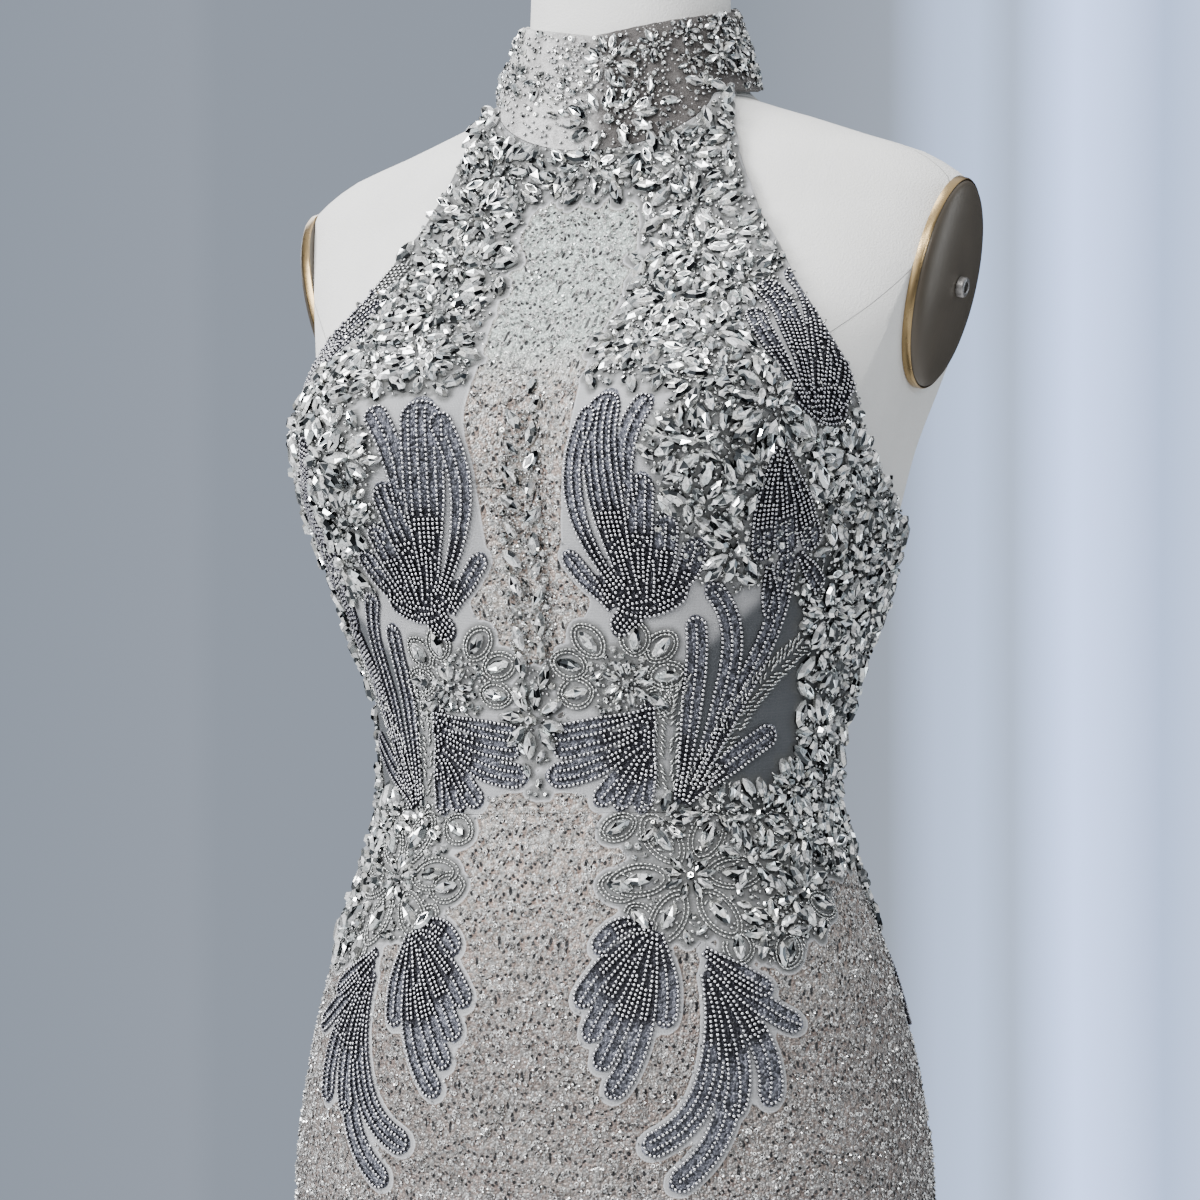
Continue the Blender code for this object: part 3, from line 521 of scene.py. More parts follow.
HALTER = (
    HalterRow(1.2580, 100.0, 1.2580),
    HalterRow(1.2700, 90.5, 1.2690),
    HalterRow(1.2850, 80.5, 1.2835),
    HalterRow(1.3000, 71.5, 1.2990),
    HalterRow(1.3150, 65.5, 1.3150),
    HalterRow(1.3330, 58.5, 1.3330),
    HalterRow(1.3520, 48.5, 1.3530),
    HalterRow(1.3750, 38.0, 1.3780),
    HalterRow(1.3950, 32.0, 1.4010),
    HalterRow(1.4150, 28.0, 1.4230),
    HalterRow(1.4330, 27.0, 1.4450),
    HalterRow(1.4470, 36.0, 1.4680),
    HalterRow(1.4585, 56.0, 1.4880),
)


def with_flutes(surface):
    """The surface with soft flutes that grow towards the hem."""

    def point(deg, z):
        base = surface(deg, z)
        grow = smoothstep((FLUTE_TOP_Z - base[..., 2]) / (FLUTE_TOP_Z - HEM_Z)) ** 1.3
        angle = np.radians(deg)
        wave = np.cos(FLUTES * angle) + 0.25 * np.cos((FLUTES // 2) * angle + 0.6)
        radius = np.hypot(base[..., 0], base[..., 1])
        scale = 1 + FLUTE_DEPTH * grow * wave / radius
        return np.stack([base[..., 0] * scale, base[..., 1] * scale, base[..., 2]], -1)

    return point


def clearance(z):
    """How far the inside of the cloth stands off the form at a height."""
    share = smoothstep((z - HIP_LINE_Z) / (UNDERARM_Z - HIP_LINE_Z))
    return (HIP_CLEARANCE + (CHEST_CLEARANCE - HIP_CLEARANCE) * share)[..., None]


def unit(vectors):
    return vectors / np.linalg.norm(vectors, axis=-1, keepdims=True)


def dot(a, b):
    return (a * b).sum(-1)


cloth_rows = SKIRT + tuple(row for row in TORSO if row.z > SKIRT[-1].z)
cloth_surface = with_flutes(body_surface(cloth_rows, CUPS))


def slopes(deg, z):
    """How the cloth's point moves for one degree and for one metre of height."""
    small_deg, small_z = 0.03, 0.0003
    per_deg = (cloth_surface(deg + small_deg, z) - cloth_surface(deg - small_deg, z)) / (2 * small_deg)
    per_z = (cloth_surface(deg, z + small_z) - cloth_surface(deg, z - small_z)) / (2 * small_z)
    return per_deg, per_z


def spot_frame(deg, z):
    """Unit vectors to the wearer's left, upward along the cloth, and out of it."""
    per_deg, per_z = slopes(deg, z)
    right = unit(per_deg)
    normal = unit(np.cross(per_deg, per_z))
    return right, np.cross(normal, right), normal


def on_cloth(deg, z, lift=0.0):
    """Points this far above the cloth's outer face."""
    deg = np.asarray(deg, float)
    z = np.asarray(z, float)
    normal = spot_frame(deg, z)[2]
    return cloth_surface(deg, z) + normal * (clearance(z) + WALL + np.asarray(lift)[..., None])


def walk(deg, z, right_step, up_step):
    """Where a short step along the cloth ends, in angle and height."""
    deg = np.asarray(deg, float)
    z = np.asarray(z, float)
    per_deg, per_z = slopes(deg, z)
    right, up, normal = spot_frame(deg, z)
    step = right * np.asarray(right_step)[..., None] + up * np.asarray(up_step)[..., None]
    a, b, c = dot(per_deg, per_deg), dot(per_deg, per_z), dot(per_z, per_z)
    p, q = dot(step, per_deg), dot(step, per_z)
    det = a * c - b * b
    return deg + (p * c - q * b) / det, z + (q * a - p * b) / det


def lengths_along(points):
    """Distances from the start of each line of points."""
    steps = np.linalg.norm(np.diff(points, axis=-2), axis=-1)
    return np.concatenate([np.zeros((*steps.shape[:-1], 1)), np.cumsum(steps, axis=-1)], axis=-1)


halter_edge = smooth_curve([row.edge_z for row in HALTER], [row.edge_deg for row in HALTER])


def back_cut_z(deg):
    """Height of the open back's cut edge."""
    to_side = np.clip((180.0 - deg) / (180.0 - SIDE_SEAM), 0, 1)
    return BACK_LOW_Z + (UNDERARM_Z - BACK_LOW_Z) * to_side ** BACK_CURVE


def front_seam_z(deg):
    """Height of the seam between the front and the collar."""
    corner = HALTER[-1]
    return corner.front_z + (corner.edge_z - corner.front_z) * smoothstep(deg / corner.edge_deg)


def inside_cut(deg, z, margin=0.003):
    """Whether points lie on the gown, this far inside the halter's and the open back's cut edges."""
    deg = np.abs(np.asarray(deg, float))
    z = np.asarray(z, float)
    front = deg < halter_edge(z) - margin / CLOTH_DEGREE
    return np.where(z < UNDERARM_Z - margin, (deg < SIDE_SEAM) | (z < back_cut_z(deg) - margin),
                    front & (z < front_seam_z(deg) - margin))


# ---- Beaded fronds ------------------------------------------------------------------------------------
# Leaf appliques worked before they are sewn on: each finger is outlined by a strand of dark metal beads and
# filled with lavender-grey sequins, and the strands close up to solid beading at the frond's base.
BEAD_PITCH = 0.00240
BEAD_RADIUS = 0.00118
STRAND_PITCH = 0.0043
BEAD_ROOM = BEAD_PITCH * 0.43
OUTLINE_INSET = 0.0012
STRAND_INSET = 0.0026
NET_LIFT = 0.0005            # of the appliques' own net from the cloth
Finger = namedtuple("Finger", "base_deg base_z mid_deg mid_z tip_deg tip_z half_width dense")
FRONDS = (
    Finger(17.8, 1.221, 9.8, 1.264, 12.4, 1.309, 0.0052, 0.34),      # bust frond
    Finger(20.5, 1.219, 15.6, 1.268, 14.6, 1.315, 0.0102, 0.42),
    Finger(20.6, 1.262, 19.2, 1.290, 22.0, 1.312, 0.0054, 0.20),
    Finger(22.6, 1.218, 22.2, 1.246, 22.4, 1.277, 0.0060, 0.50),
    Finger(26.0, 1.218, 26.9, 1.238, 27.0, 1.258, 0.0056, 0.55),
    Finger(28.5, 1.218, 31.8, 1.230, 33.2, 1.246, 0.0056, 0.45),
    Finger(16.0, 1.212, 10.8, 1.228, 7.4, 1.240, 0.0046, 0.30),
    Finger(13.6, 1.225, 22.0, 1.215, 31.0, 1.225, 0.0085, 1.00),
    Finger(22.0, 1.218, 20.8, 1.232, 19.8, 1.247, 0.0105, 1.00),
    Finger(25.0, 1.214, 20.5, 1.208, 17.4, 1.199, 0.0060, 1.00),
    Finger(50.5, 1.314, 38.8, 1.341, 32.6, 1.360, 0.0050, 0.50),     # shoulder frond
    Finger(52.5, 1.311, 41.0, 1.352, 31.5, 1.376, 0.0064, 0.62),
    Finger(54.5, 1.310, 44.5, 1.360, 35.4, 1.384, 0.0058, 0.66),
    Finger(56.5, 1.309, 50.2, 1.346, 42.0, 1.371, 0.0068, 0.90),
    Finger(58.5, 1.309, 57.6, 1.330, 51.6, 1.347, 0.0064, 0.95),
    Finger(49.0, 1.315, 54.5, 1.312, 60.5, 1.315, 0.0085, 1.00),
    Finger(47.5, 1.290, 46.8, 1.265, 48.6, 1.238, 0.0058, 0.70),     # side frond
    Finger(47.8, 1.290, 50.8, 1.266, 54.6, 1.240, 0.0058, 0.62),
    Finger(48.2, 1.290, 54.6, 1.268, 61.5, 1.244, 0.0056, 0.75),
    Finger(50.5, 1.234, 52.0, 1.222, 54.0, 1.208, 0.0042, 0.40),
    Finger(58.0, 1.240, 62.0, 1.233, 66.5, 1.224, 0.0042, 0.40),
    Finger(34.0, 1.112, 36.8, 1.168, 34.6, 1.207, 0.0048, 0.34),     # palm at the waist
    Finger(35.2, 1.112, 45.5, 1.178, 37.0, 1.224, 0.0048, 0.30),
    Finger(36.5, 1.113, 52.5, 1.184, 54.5, 1.240, 0.0048, 0.34),
    Finger(36.0, 1.111, 48.0, 1.131, 62.0, 1.149, 0.0055, 0.40),
    Finger(24.5, 1.157, 13.5, 1.151, 3.4, 1.147, 0.0040, 0.34),      # frond under the bust flower
    Finger(23.5, 1.149, 13.2, 1.142, 3.6, 1.138, 0.0044, 0.40),
    Finger(23.5, 1.142, 11.5, 1.129, 2.2, 1.125, 0.0062, 0.34),
    Finger(24.0, 1.138, 17.0, 1.119, 13.4, 1.110, 0.0052, 0.45),
    Finger(25.0, 1.138, 20.8, 1.118, 18.6, 1.107, 0.0044, 0.50),
    Finger(26.0, 1.148, 25.4, 1.124, 24.0, 1.106, 0.0048, 0.55),
    Finger(25.4, 1.160, 24.2, 1.147, 22.0, 1.134, 0.0078, 1.00),
    Finger(24.5, 1.046, 18.0, 1.046, 13.2, 1.034, 0.0048, 0.55),     # inner hip frond
    Finger(24.0, 1.045, 15.5, 1.028, 9.7, 1.007, 0.0054, 0.60),
    Finger(24.0, 1.044, 16.0, 1.013, 11.2, 0.990, 0.0054, 0.60),
    Finger(24.2, 1.043, 17.5, 1.000, 12.8, 0.976, 0.0052, 0.60),
    Finger(24.8, 1.042, 20.8, 0.992, 14.5, 0.962, 0.0056, 0.50),
    Finger(26.0, 1.042, 27.0, 1.018, 25.8, 0.997, 0.0052, 0.35),
    Finger(36.0, 1.034, 43.0, 1.023, 50.0, 1.014, 0.0048, 0.45),     # outer hip frond
    Finger(36.5, 1.028, 48.0, 1.006, 56.0, 0.997, 0.0054, 0.45),
    Finger(37.5, 1.022, 46.0, 0.986, 45.6, 0.958, 0.0058, 0.50),
    Finger(36.8, 1.020, 40.2, 0.980, 37.2, 0.952, 0.0054, 0.55),
    Finger(35.6, 1.022, 33.0, 0.966, 20.5, 0.935, 0.0062, 0.35),
    Finger(36.2, 1.018, 37.0, 0.958, 25.4, 0.916, 0.0058, 0.35),
    Finger(124.0, 1.048, 119.5, 1.004, 115.5, 0.965, 0.0060, 0.50),  # back hip fronds
    Finger(125.0, 1.046, 130.0, 1.008, 133.0, 0.977, 0.0056, 0.50),
    Finger(122.5, 1.048, 112.0, 1.022, 105.5, 0.997, 0.0052, 0.50),
    Finger(153.0, 1.050, 158.0, 1.008, 160.5, 0.970, 0.0060, 0.50),
    Finger(151.5, 1.046, 146.0, 1.010, 143.0, 0.983, 0.0056, 0.50),
    Finger(154.0, 1.049, 162.5, 1.026, 168.0, 1.006, 0.0052, 0.50),
)
# Strips that follow the side of the bust and waist on the wearer's right alone.
RIGHT_FRONDS = (
    Finger(-52.0, 1.262, -42.5, 1.280, -36.5, 1.302, 0.0055, 0.95),
    Finger(-45.0, 1.140, -51.5, 1.172, -56.0, 1.214, 0.0064, 0.95),
)


def mirrored(rows):
    """The rows on the wearer's left side and again on the right."""
    both = []
    for row in rows:
        flip = {key: -getattr(row, key) for key in row._fields if key.endswith("deg")}
        both += [row, row._replace(**flip)]
    return both


def bend(base, mid, tip):
    """Values from base to tip that pass mid half way."""
    t = np.linspace(0, 1, 41)
    return (1 - t) ** 2 * base + 2 * t * (1 - t) * (2 * mid - (base + tip) / 2) + t * t * tip


def finger_line(finger, shares):
    """The finger's centre line, as angles and heights at these shares of its length."""
    deg = bend(finger.base_deg, finger.mid_deg, finger.tip_deg)
    z = bend(finger.base_z, finger.mid_z, finger.tip_z)
    length = lengths_along(on_cloth(deg, z))
    at = length / length[-1]
    return np.interp(shares, at, deg), np.interp(shares, at, z), length[-1]


def finger_width(finger, shares, length):
    """Half the finger's width: narrow at its base, full past its middle and round at its tip."""
    round_from = 1 - finger.half_width / length
    swell = 0.42 + 0.58 * smoothstep(shares / 0.6)
    tip = np.sqrt(np.clip(1 - (np.clip(shares - round_from, 0, 1) / (1 - round_from)) ** 2, 0, 1))
    return finger.half_width * swell * tip


def beside(deg, z, offset):
    """The line moved sideways along the cloth by these lengths."""
    points = on_cloth(deg, z)
    right, up, normal = spot_frame(deg, z)
    along = np.gradient(points, axis=0)
    across, rising = dot(along, right), dot(along, up)
    scale = np.hypot(across, rising)
    return walk(deg, z, offset * rising / scale, -offset * across / scale)


def even_spots(deg, z, pitch):
    """Angles and heights of points at an even pitch along a line on the cloth."""
    length = lengths_along(on_cloth(deg, z))
    count = max(int(round(length[-1] / pitch)), 1)
    at = np.linspace(0, length[-1], count + 1)
    return np.interp(at, length, deg), np.interp(at, length, z)


class Packing:
    """Keeps small shapes from lying in each other: a spot is taken only with enough room around it."""

    def __init__(self, cell=0.006):
        self.cell = cell
        self.cells = {}

    def key(self, point):
        return tuple(int(math.floor(value / self.cell)) for value in point)

    def free(self, point, radius):
        a, b, c = self.key(point)
        for i in (a - 1, a, a + 1):
            for j in (b - 1, b, b + 1):
                for k in (c - 1, c, c + 1):
                    for x, y, z, other in self.cells.get((i, j, k), ()):
                        room = radius + other
                        if (x - point[0]) ** 2 + (y - point[1]) ** 2 + (z - point[2]) ** 2 < room * room:
                            return False
        return True

    def take(self, point, radius):
        self.cells.setdefault(self.key(point), []).append((point[0], point[1], point[2], radius))


packing = Packing()
fingers = mirrored(FRONDS) + list(RIGHT_FRONDS)
outlines, strands = [], []
finger_edges, dense_edges = [], []
near_tip = 1 - (1 - np.linspace(0, 1, 60)) ** 1.6
for finger in fingers:
    deg, z, length = finger_line(finger, near_tip)
    width = finger_width(finger, near_tip, length)
    finger_edges.append((on_cloth(deg, z)[::4], width[::4]))
    beaded = near_tip < finger.dense
    if beaded.sum() > 8:
        dense_edges.append((on_cloth(deg, z)[beaded][::4], width[beaded][::4]))
    left = beside(deg, z, -width)
    right = beside(deg, z, width)
    outline = np.concatenate([left[0], right[0][::-1]]), np.concatenate([left[1], right[1][::-1]])
    outlines.append(even_spots(*outline, BEAD_PITCH))
    # Strands inside the outline: open ones along the whole finger, and closed rows up to its dense share.
    for pitch, top, inset in ((BEAD_PITCH, finger.dense, OUTLINE_INSET), (STRAND_PITCH, 0.96, STRAND_INSET)):
        rows = int(round(2 * (finger.half_width - inset) / pitch))
        shares = np.linspace(0.02, top, 50)
        deg, z, length = finger_line(finger, shares)
        for offset in (np.arange(rows) - (rows - 1) / 2) * pitch:
            room = np.abs(offset) < finger_width(finger, shares, length) - inset + 0.0004
            if room.sum() > 3:
                line = beside(deg, z, np.full(len(shares), offset))
                strands.append(even_spots(line[0][room], line[1][room], BEAD_PITCH))
frond_spots = []
for deg, z in outlines + strands:
    fits = inside_cut(deg, z, 0.0014)
    for one_deg, one_z, point in zip(deg[fits], z[fits], on_cloth(deg[fits], z[fits])):
        if packing.free(point, BEAD_ROOM):
            packing.take(point, BEAD_ROOM)
            frond_spots.append((one_deg, one_z))
frond_spots = np.array(frond_spots)

# ---- Stone setting plan -------------------------------------------------------------------------------
# Foil-backed glass stones in claw settings. Flowers of pointed stones stand round a chaton, and smaller
# stones, chatons and seed beads close the gaps between them.
Cluster = namedtuple("Cluster", "deg z radius petals petal")   # petal: its stones' length
CLUSTERS = (
    Cluster(17.5, 1.449, 0.022, 6, 0.0130),    # halter band
    Cluster(33.0, 1.462, 0.018, 6, 0.0120),
    Cluster(46.0, 1.474, 0.014, 5, 0.0110),
    Cluster(17.0, 1.424, 0.022, 6, 0.0145),
    Cluster(18.5, 1.396, 0.024, 7, 0.0140),
    Cluster(17.5, 1.366, 0.022, 6, 0.0150),
    Cluster(16.5, 1.339, 0.018, 6, 0.0125),
    Cluster(27.0, 1.345, 0.024, 8, 0.0140),
    Cluster(27.5, 1.378, 0.018, 5, 0.0120),
    Cluster(42.8, 1.310, 0.024, 8, 0.0155),    # bust crystals
    Cluster(32.5, 1.322, 0.022, 7, 0.0130),
    Cluster(34.5, 1.291, 0.024, 8, 0.0160),
    Cluster(56.0, 1.290, 0.020, 6, 0.0155),
    Cluster(28.5, 1.292, 0.018, 5, 0.0140),
    Cluster(33.0, 1.262, 0.022, 6, 0.0150),
    Cluster(42.5, 1.243, 0.024, 8, 0.0155),
    Cluster(42.0, 1.276, 0.014, 3, 0.0160),
    Cluster(63.0, 1.263, 0.018, 5, 0.0150),
    Cluster(66.0, 1.288, 0.020, 6, 0.0140),    # side crystals
    Cluster(76.0, 1.268, 0.018, 5, 0.0125),
    Cluster(88.0, 1.250, 0.018, 6, 0.0115),
    Cluster(78.0, 1.236, 0.018, 5, 0.0135),
    Cluster(90.0, 1.216, 0.018, 6, 0.0115),
    Cluster(72.0, 1.212, 0.018, 6, 0.0145),
    Cluster(82.0, 1.186, 0.016, 5, 0.0135),
    Cluster(80.0, 1.150, 0.016, 6, 0.0135),
    Cluster(72.0, 1.118, 0.016, 5, 0.0125),
    Cluster(86.0, 1.122, 0.018, 6, 0.0125),
    Cluster(96.0, 1.098, 0.016, 5, 0.0115),
    Cluster(83.0, 1.090, 0.016, 5, 0.0125),
    Cluster(44.0, 1.107, 0.014, 5, 0.0105),    # over the waist seam
    Cluster(57.0, 1.104, 0.016, 5, 0.0115),
    Cluster(29.0, 1.100, 0.012, 4, 0.0105),
    Cluster(70.0, 1.093, 0.016, 5, 0.0125),
    Cluster(52.0, 1.080, 0.018, 5, 0.0135),    # round the hip flower
    Cluster(66.0, 1.062, 0.020, 5, 0.0135),
    Cluster(55.0, 1.043, 0.016, 4, 0.0135),
    Cluster(112.0, 1.222, 0.018, 6, 0.0125),   # along the open back
    Cluster(124.0, 1.196, 0.018, 5, 0.0125),
    Cluster(138.0, 1.168, 0.018, 6, 0.0125),
    Cluster(154.0, 1.142, 0.016, 5, 0.0125),
    Cluster(112.0, 1.176, 0.016, 5, 0.0125),
    Cluster(120.0, 1.072, 0.026, 6, 0.0145),
    Cluster(150.0, 1.076, 0.026, 6, 0.0145),
)
MIDDLE_CLUSTER = Cluster(0.0, 1.449, 0.020, 7, 0.0120)
# Flowers of sheer petals: each petal is outlined twice in silver bugles round one long stone.
Bloom = namedtuple("Bloom", "deg z radius petals turn")
BLOOMS = (
    Bloom(20.2, 1.173, 0.021, 0, 10.0),
    Bloom(35.0, 1.072, 0.034, 6, 0.0),
)
# Single sheer petals at the edge of the flowers.
Petal = namedtuple("Petal", "deg z turn_deg length")
PETALS = (
    Petal(11.2, 1.195, -40.0, 0.021),          # round the bust flower
    Petal(7.0, 1.183, -74.0, 0.020),
    Petal(8.4, 1.168, -100.0, 0.019),
    Petal(21.4, 1.196, 6.0, 0.019),
    Petal(27.6, 1.192, 40.0, 0.020),
    Petal(29.8, 1.177, 80.0, 0.020),
    Petal(27.8, 1.163, 122.0, 0.017),
    Petal(18.5, 1.097, 60.0, 0.020),           # round the hip flower
    Petal(18.5, 1.067, 100.0, 0.022),
    Petal(22.5, 1.050, 140.0, 0.020),
    Petal(72.5, 1.057, -70.0, 0.020),
    Petal(57.0, 1.034, -160.0, 0.020),
    Petal(44.0, 1.036, 175.0, 0.018),
)
# Silver ears of slanted bugles beside the palm frond.
Ear = namedtuple("Ear", "base_deg base_z mid_deg mid_z tip_deg tip_z")
EARS = (
    Ear(38.5, 1.118, 52.0, 1.163, 66.5, 1.196),
    Ear(32.0, 1.116, 30.6, 1.145, 32.6, 1.180),
)
# Loose shapes: their length, width, height and the room each one keeps round it.
Loose = namedtuple("Loose", "kind length width height claim")
LARGE = (
    Loose("marquise", 0.0155, 0.0072, 0.0038, 0.0030),
    Loose("marquise", 0.0125, 0.0060, 0.0034, 0.0026),
)
SMALL = (
    Loose("marquise", 0.0084, 0.0042, 0.0027, 0.0019),
    Loose("chaton", 0.0042, 0.0042, 0.0028, 0.0020),
    Loose("chaton", 0.0031, 0.0031, 0.0022, 0.0015),
)
FILLING = (
    Loose("seed", 0.0019, 0.0019, 0.0017, 0.00095),
    Loose("seed", 0.0023, 0.0023, 0.0020, 0.00112),
    Loose("bugle", 0.0034, 0.0011, 0.0011, 0.0012),
)
# Heights and angles between which the crusted crystal ground lies on the bodice.
Crust = namedtuple("Crust", "z from_deg to_deg")
CRUST = (
    Crust(1.085, 60.0, 92.0),
    Crust(1.110, 66.0, 99.0),
    Crust(1.130, 72.0, 99.0),
    Crust(1.165, 71.0, 99.0),
    Crust(1.190, 67.0, 99.0),
    Crust(1.215, 62.0, 99.0),
    Crust(1.232, 41.0, 99.0),
    Crust(1.250, 33.0, 99.0),
    Crust(1.285, 26.8, 90.0),
    Crust(1.303, 26.0, 80.0),
    Crust(1.315, 24.0, 74.0),
    Crust(1.321, 10.0, 71.0),
    Crust(1.334, 8.6, 66.0),
    Crust(1.360, 9.0, 58.0),
    Crust(1.400, 9.0, 44.0),
    Crust(1.422, 9.0, 40.0),
    Crust(1.438, 3.0, 40.0),
    Crust(1.444, 0.0, 40.0),
    Crust(1.456, 0.0, 46.0),
    Crust(1.474, 20.0, 52.0),
    Crust(1.486, 40.0, 56.0),
)
VINE_TOP_Z = 1.319
VINE_LOW_Z = 1.166
VINE_PITCH = 0.0068
VINE_HALF_WIDTH = 0.014
VINE_NET_TOP_Z = 1.335
EDGE_ROWS = 5
EDGE_ROW_PITCH = 0.0026
STONE_SEED = 41
CHATON = (0.0042, 0.0042, 0.0028)
BUGLE = (0.0012, 0.0021, 0.0014)
BUGLE_PITCH = 0.0023

stones = {"marquise": [], "chaton": [], "seed": [], "bugle": []}
dice = np.random.default_rng(STONE_SEED)


def settle(kinds, spots, room, turns, sizes, tilt, claims, check=True):
    """Set shapes on spots of the cloth. Where check is set, each one needs free room round it."""
    points, right, up, normal, fits = spots
    count = len(points)
    angle = np.radians(np.broadcast_to(turns, count))[:, None]
    along = right * np.sin(angle) + up * np.cos(angle)
    lean = math.radians(tilt) * dice.uniform(-1, 1, (count, 2))
    normal = unit(normal + along * lean[:, :1] + np.cross(normal, along) * lean[:, 1:])
    along = unit(along - normal * dot(along, normal)[:, None])
    kinds = np.broadcast_to(kinds, count)
    claims = np.broadcast_to(claims, count)
    for i in np.flatnonzero(fits):
        places = [(points[i], claims[i])]
        if kinds[i] == "marquise":
            tip = along[i] * sizes[i][1] * 0.30
            places += [(points[i] + tip, claims[i] * 0.62), (points[i] - tip, claims[i] * 0.62)]
        if check and not all(room.free(*place) for place in places):
            continue
        for place in places:
            room.take(*place)
        stones[str(kinds[i])].append((points[i], along[i], normal[i], sizes[i]))


def gown_spots(deg, z, lifts, sizes):
    """Points, directions and fit of spots on the gown for shapes of these sizes."""
    fits = inside_cut(deg, z, 0.0004 + sizes[:, :2].min(axis=1) * 0.35)
    return (on_cloth(deg, z, NET_LIFT + np.broadcast_to(lifts, len(deg))), *spot_frame(deg, z), fits)


def lay(kinds, deg, z, turns, size, lift=0.0, tilt=8.0, claim=0.0012, check=True):
    """Set shapes of one size, or of a row of sizes, on the gown."""
    deg, z = np.atleast_1d(np.asarray(deg, float)), np.atleast_1d(np.asarray(z, float))
    sizes = np.broadcast_to(np.asarray(size, float), (len(deg), 3))
    settle(kinds, gown_spots(deg, z, lift, sizes), packing, turns, sizes, tilt, claim, check)


def round_spot(deg, z, radius, bearings):
    """Angles and heights of spots at these bearings from a centre."""
    angle = np.radians(np.atleast_1d(np.asarray(bearings, float)))
    start = np.full(len(angle), float(deg)), np.full(len(angle), float(z))
    return walk(*start, radius * np.sin(angle), radius * np.cos(angle))


def petal_ring(petals, petal, turn):
    """Bearings and distance of the pointed stones of a flower, and its chaton's size."""
    heart = 0.30 * petal + 0.0006
    bearings = turn + np.arange(petals) * 360.0 / petals + dice.uniform(-6, 6, petals)
    return bearings, heart + petal * 0.52, heart


def flower(deg, z, petals, petal, turn, check=True):
    """Pointed stones round a chaton."""
    bearings, away, heart = petal_ring(petals, petal, turn)
    lay("chaton", deg, z, turn, (heart * 1.4, heart * 1.4, heart), 0.0010, 6.0, heart * 0.5, check)
    size = (petal * 0.46, petal, petal * 0.26)
    lay("marquise", *round_spot(deg, z, away, bearings), bearings, size, 0.0006, 12.0, petal * 0.15, check)


def throw(tries, choices):
    """Random distances (0 to 1) and bearings in a disc, with a random loose shape for each."""
    picks = [choices[i] for i in dice.integers(0, len(choices), tries)]
    kinds = np.array([pick.kind for pick in picks])
    sizes = np.array([(pick.width, pick.length, pick.height) for pick in picks])
    claims = np.array([pick.claim for pick in picks])
    return np.sqrt(dice.random(tries)), dice.uniform(0, 360, tries), kinds, sizes, claims


def fill(deg, z, radius, tries, choices):
    """Throw loose shapes at a disc of the gown, and keep those that find room."""
    away, bearings, kinds, sizes, claims = throw(tries, choices)
    spots = round_spot(deg, z, radius * away, bearings)
    lifts = dice.uniform(0.0, 0.0010, tries)
    turns = bearings + dice.normal(0, 35, tries)
    settle(kinds, gown_spots(*spots, lifts, sizes), packing, turns, sizes, 16.0, claims)


def crust(tries, choices):
    """Throw loose shapes at the crusted parts of the bodice, and keep those that find room."""
    away, bearings, kinds, sizes, claims = throw(tries, choices)
    from_deg, to_deg = column_curves(CRUST)
    z = dice.uniform(CRUST[0].z, CRUST[-1].z, tries)
    deg = dice.uniform(-99.0, 99.0, tries)
    inside = (np.abs(deg) > from_deg(z)) & (np.abs(deg) < to_deg(z))
    spots = gown_spots(deg, z, dice.uniform(0.0, 0.0010, tries), sizes)
    settle(kinds, (*spots[:-1], spots[-1] & inside), packing, bearings, sizes, 14.0, claims)


def line_turns(deg, z):
    """Middles of a line's steps, and the bearing of each step."""
    middle = (deg[:-1] + deg[1:]) / 2, (z[:-1] + z[1:]) / 2
    right, up, normal = spot_frame(*middle)
    step = np.diff(on_cloth(deg, z), axis=0)
    return *middle, np.degrees(np.arctan2(dot(step, right), dot(step, up)))


def string(deg, z):
    """Bugles end to end along a line."""
    middle_deg, middle_z, turns = line_turns(*even_spots(deg, z, BUGLE_PITCH))
    lay("bugle", middle_deg, middle_z, turns, BUGLE, 0.0, 3.0, 0.0007)


def petal_outline(deg, z, turn, length, width):
    """A pointed oval of bugles that lie end to end."""
    angles = np.linspace(0, 2 * math.pi, 49)
    along = -np.cos(angles) * length / 2
    side = np.sin(angles) * np.abs(np.sin(angles)) ** 0.25 * width / 2
    lean = math.radians(turn)
    string(*walk(np.full(49, deg), np.full(49, z), along * math.sin(lean) + side * math.cos(lean),
                 along * math.cos(lean) - side * math.sin(lean)))


clusters = mirrored(CLUSTERS) + [MIDDLE_CLUSTER]
blooms = mirrored(BLOOMS)
for cluster in clusters:
    flower(cluster.deg, cluster.z, cluster.petals, cluster.petal, dice.uniform(0, 360))
for bloom in blooms:
    flower(bloom.deg, bloom.z, 9, 0.0098, bloom.turn, False)
    bearings = bloom.turn + 25 + np.arange(bloom.petals) * 360.0 / bloom.petals
    centres = round_spot(bloom.deg, bloom.z, bloom.radius * 0.70, bearings)
    lay("marquise", *centres, bearings, (0.0070, 0.0158, 0.0038), 0.0004, 10.0, 0.0030, False)
    for deg, z, bearing in zip(*centres, bearings):
        petal_outline(deg, z, bearing, bloom.radius * 0.92, 0.0172)
        petal_outline(deg, z, bearing, bloom.radius * 0.76, 0.0132)
for petal in mirrored(PETALS):
    lay("marquise", petal.deg, petal.z, petal.turn_deg, (0.0066, 0.0138, 0.0036), 0.0004, 10.0, 0.0032, False)
    wide = dice.uniform(0.0142, 0.0172)
    petal_outline(petal.deg, petal.z, petal.turn_deg, petal.length, wide)
    petal_outline(petal.deg, petal.z, petal.turn_deg + 3, petal.length - 0.0036, wide - 0.0038)
for bloom in blooms:
    fan = bloom.turn + 20 + np.arange(9) * 40.0
    lay("chaton", *round_spot(bloom.deg, bloom.z, 0.0145, fan), fan, CHATON, 0.0002, 10.0, 0.0019)
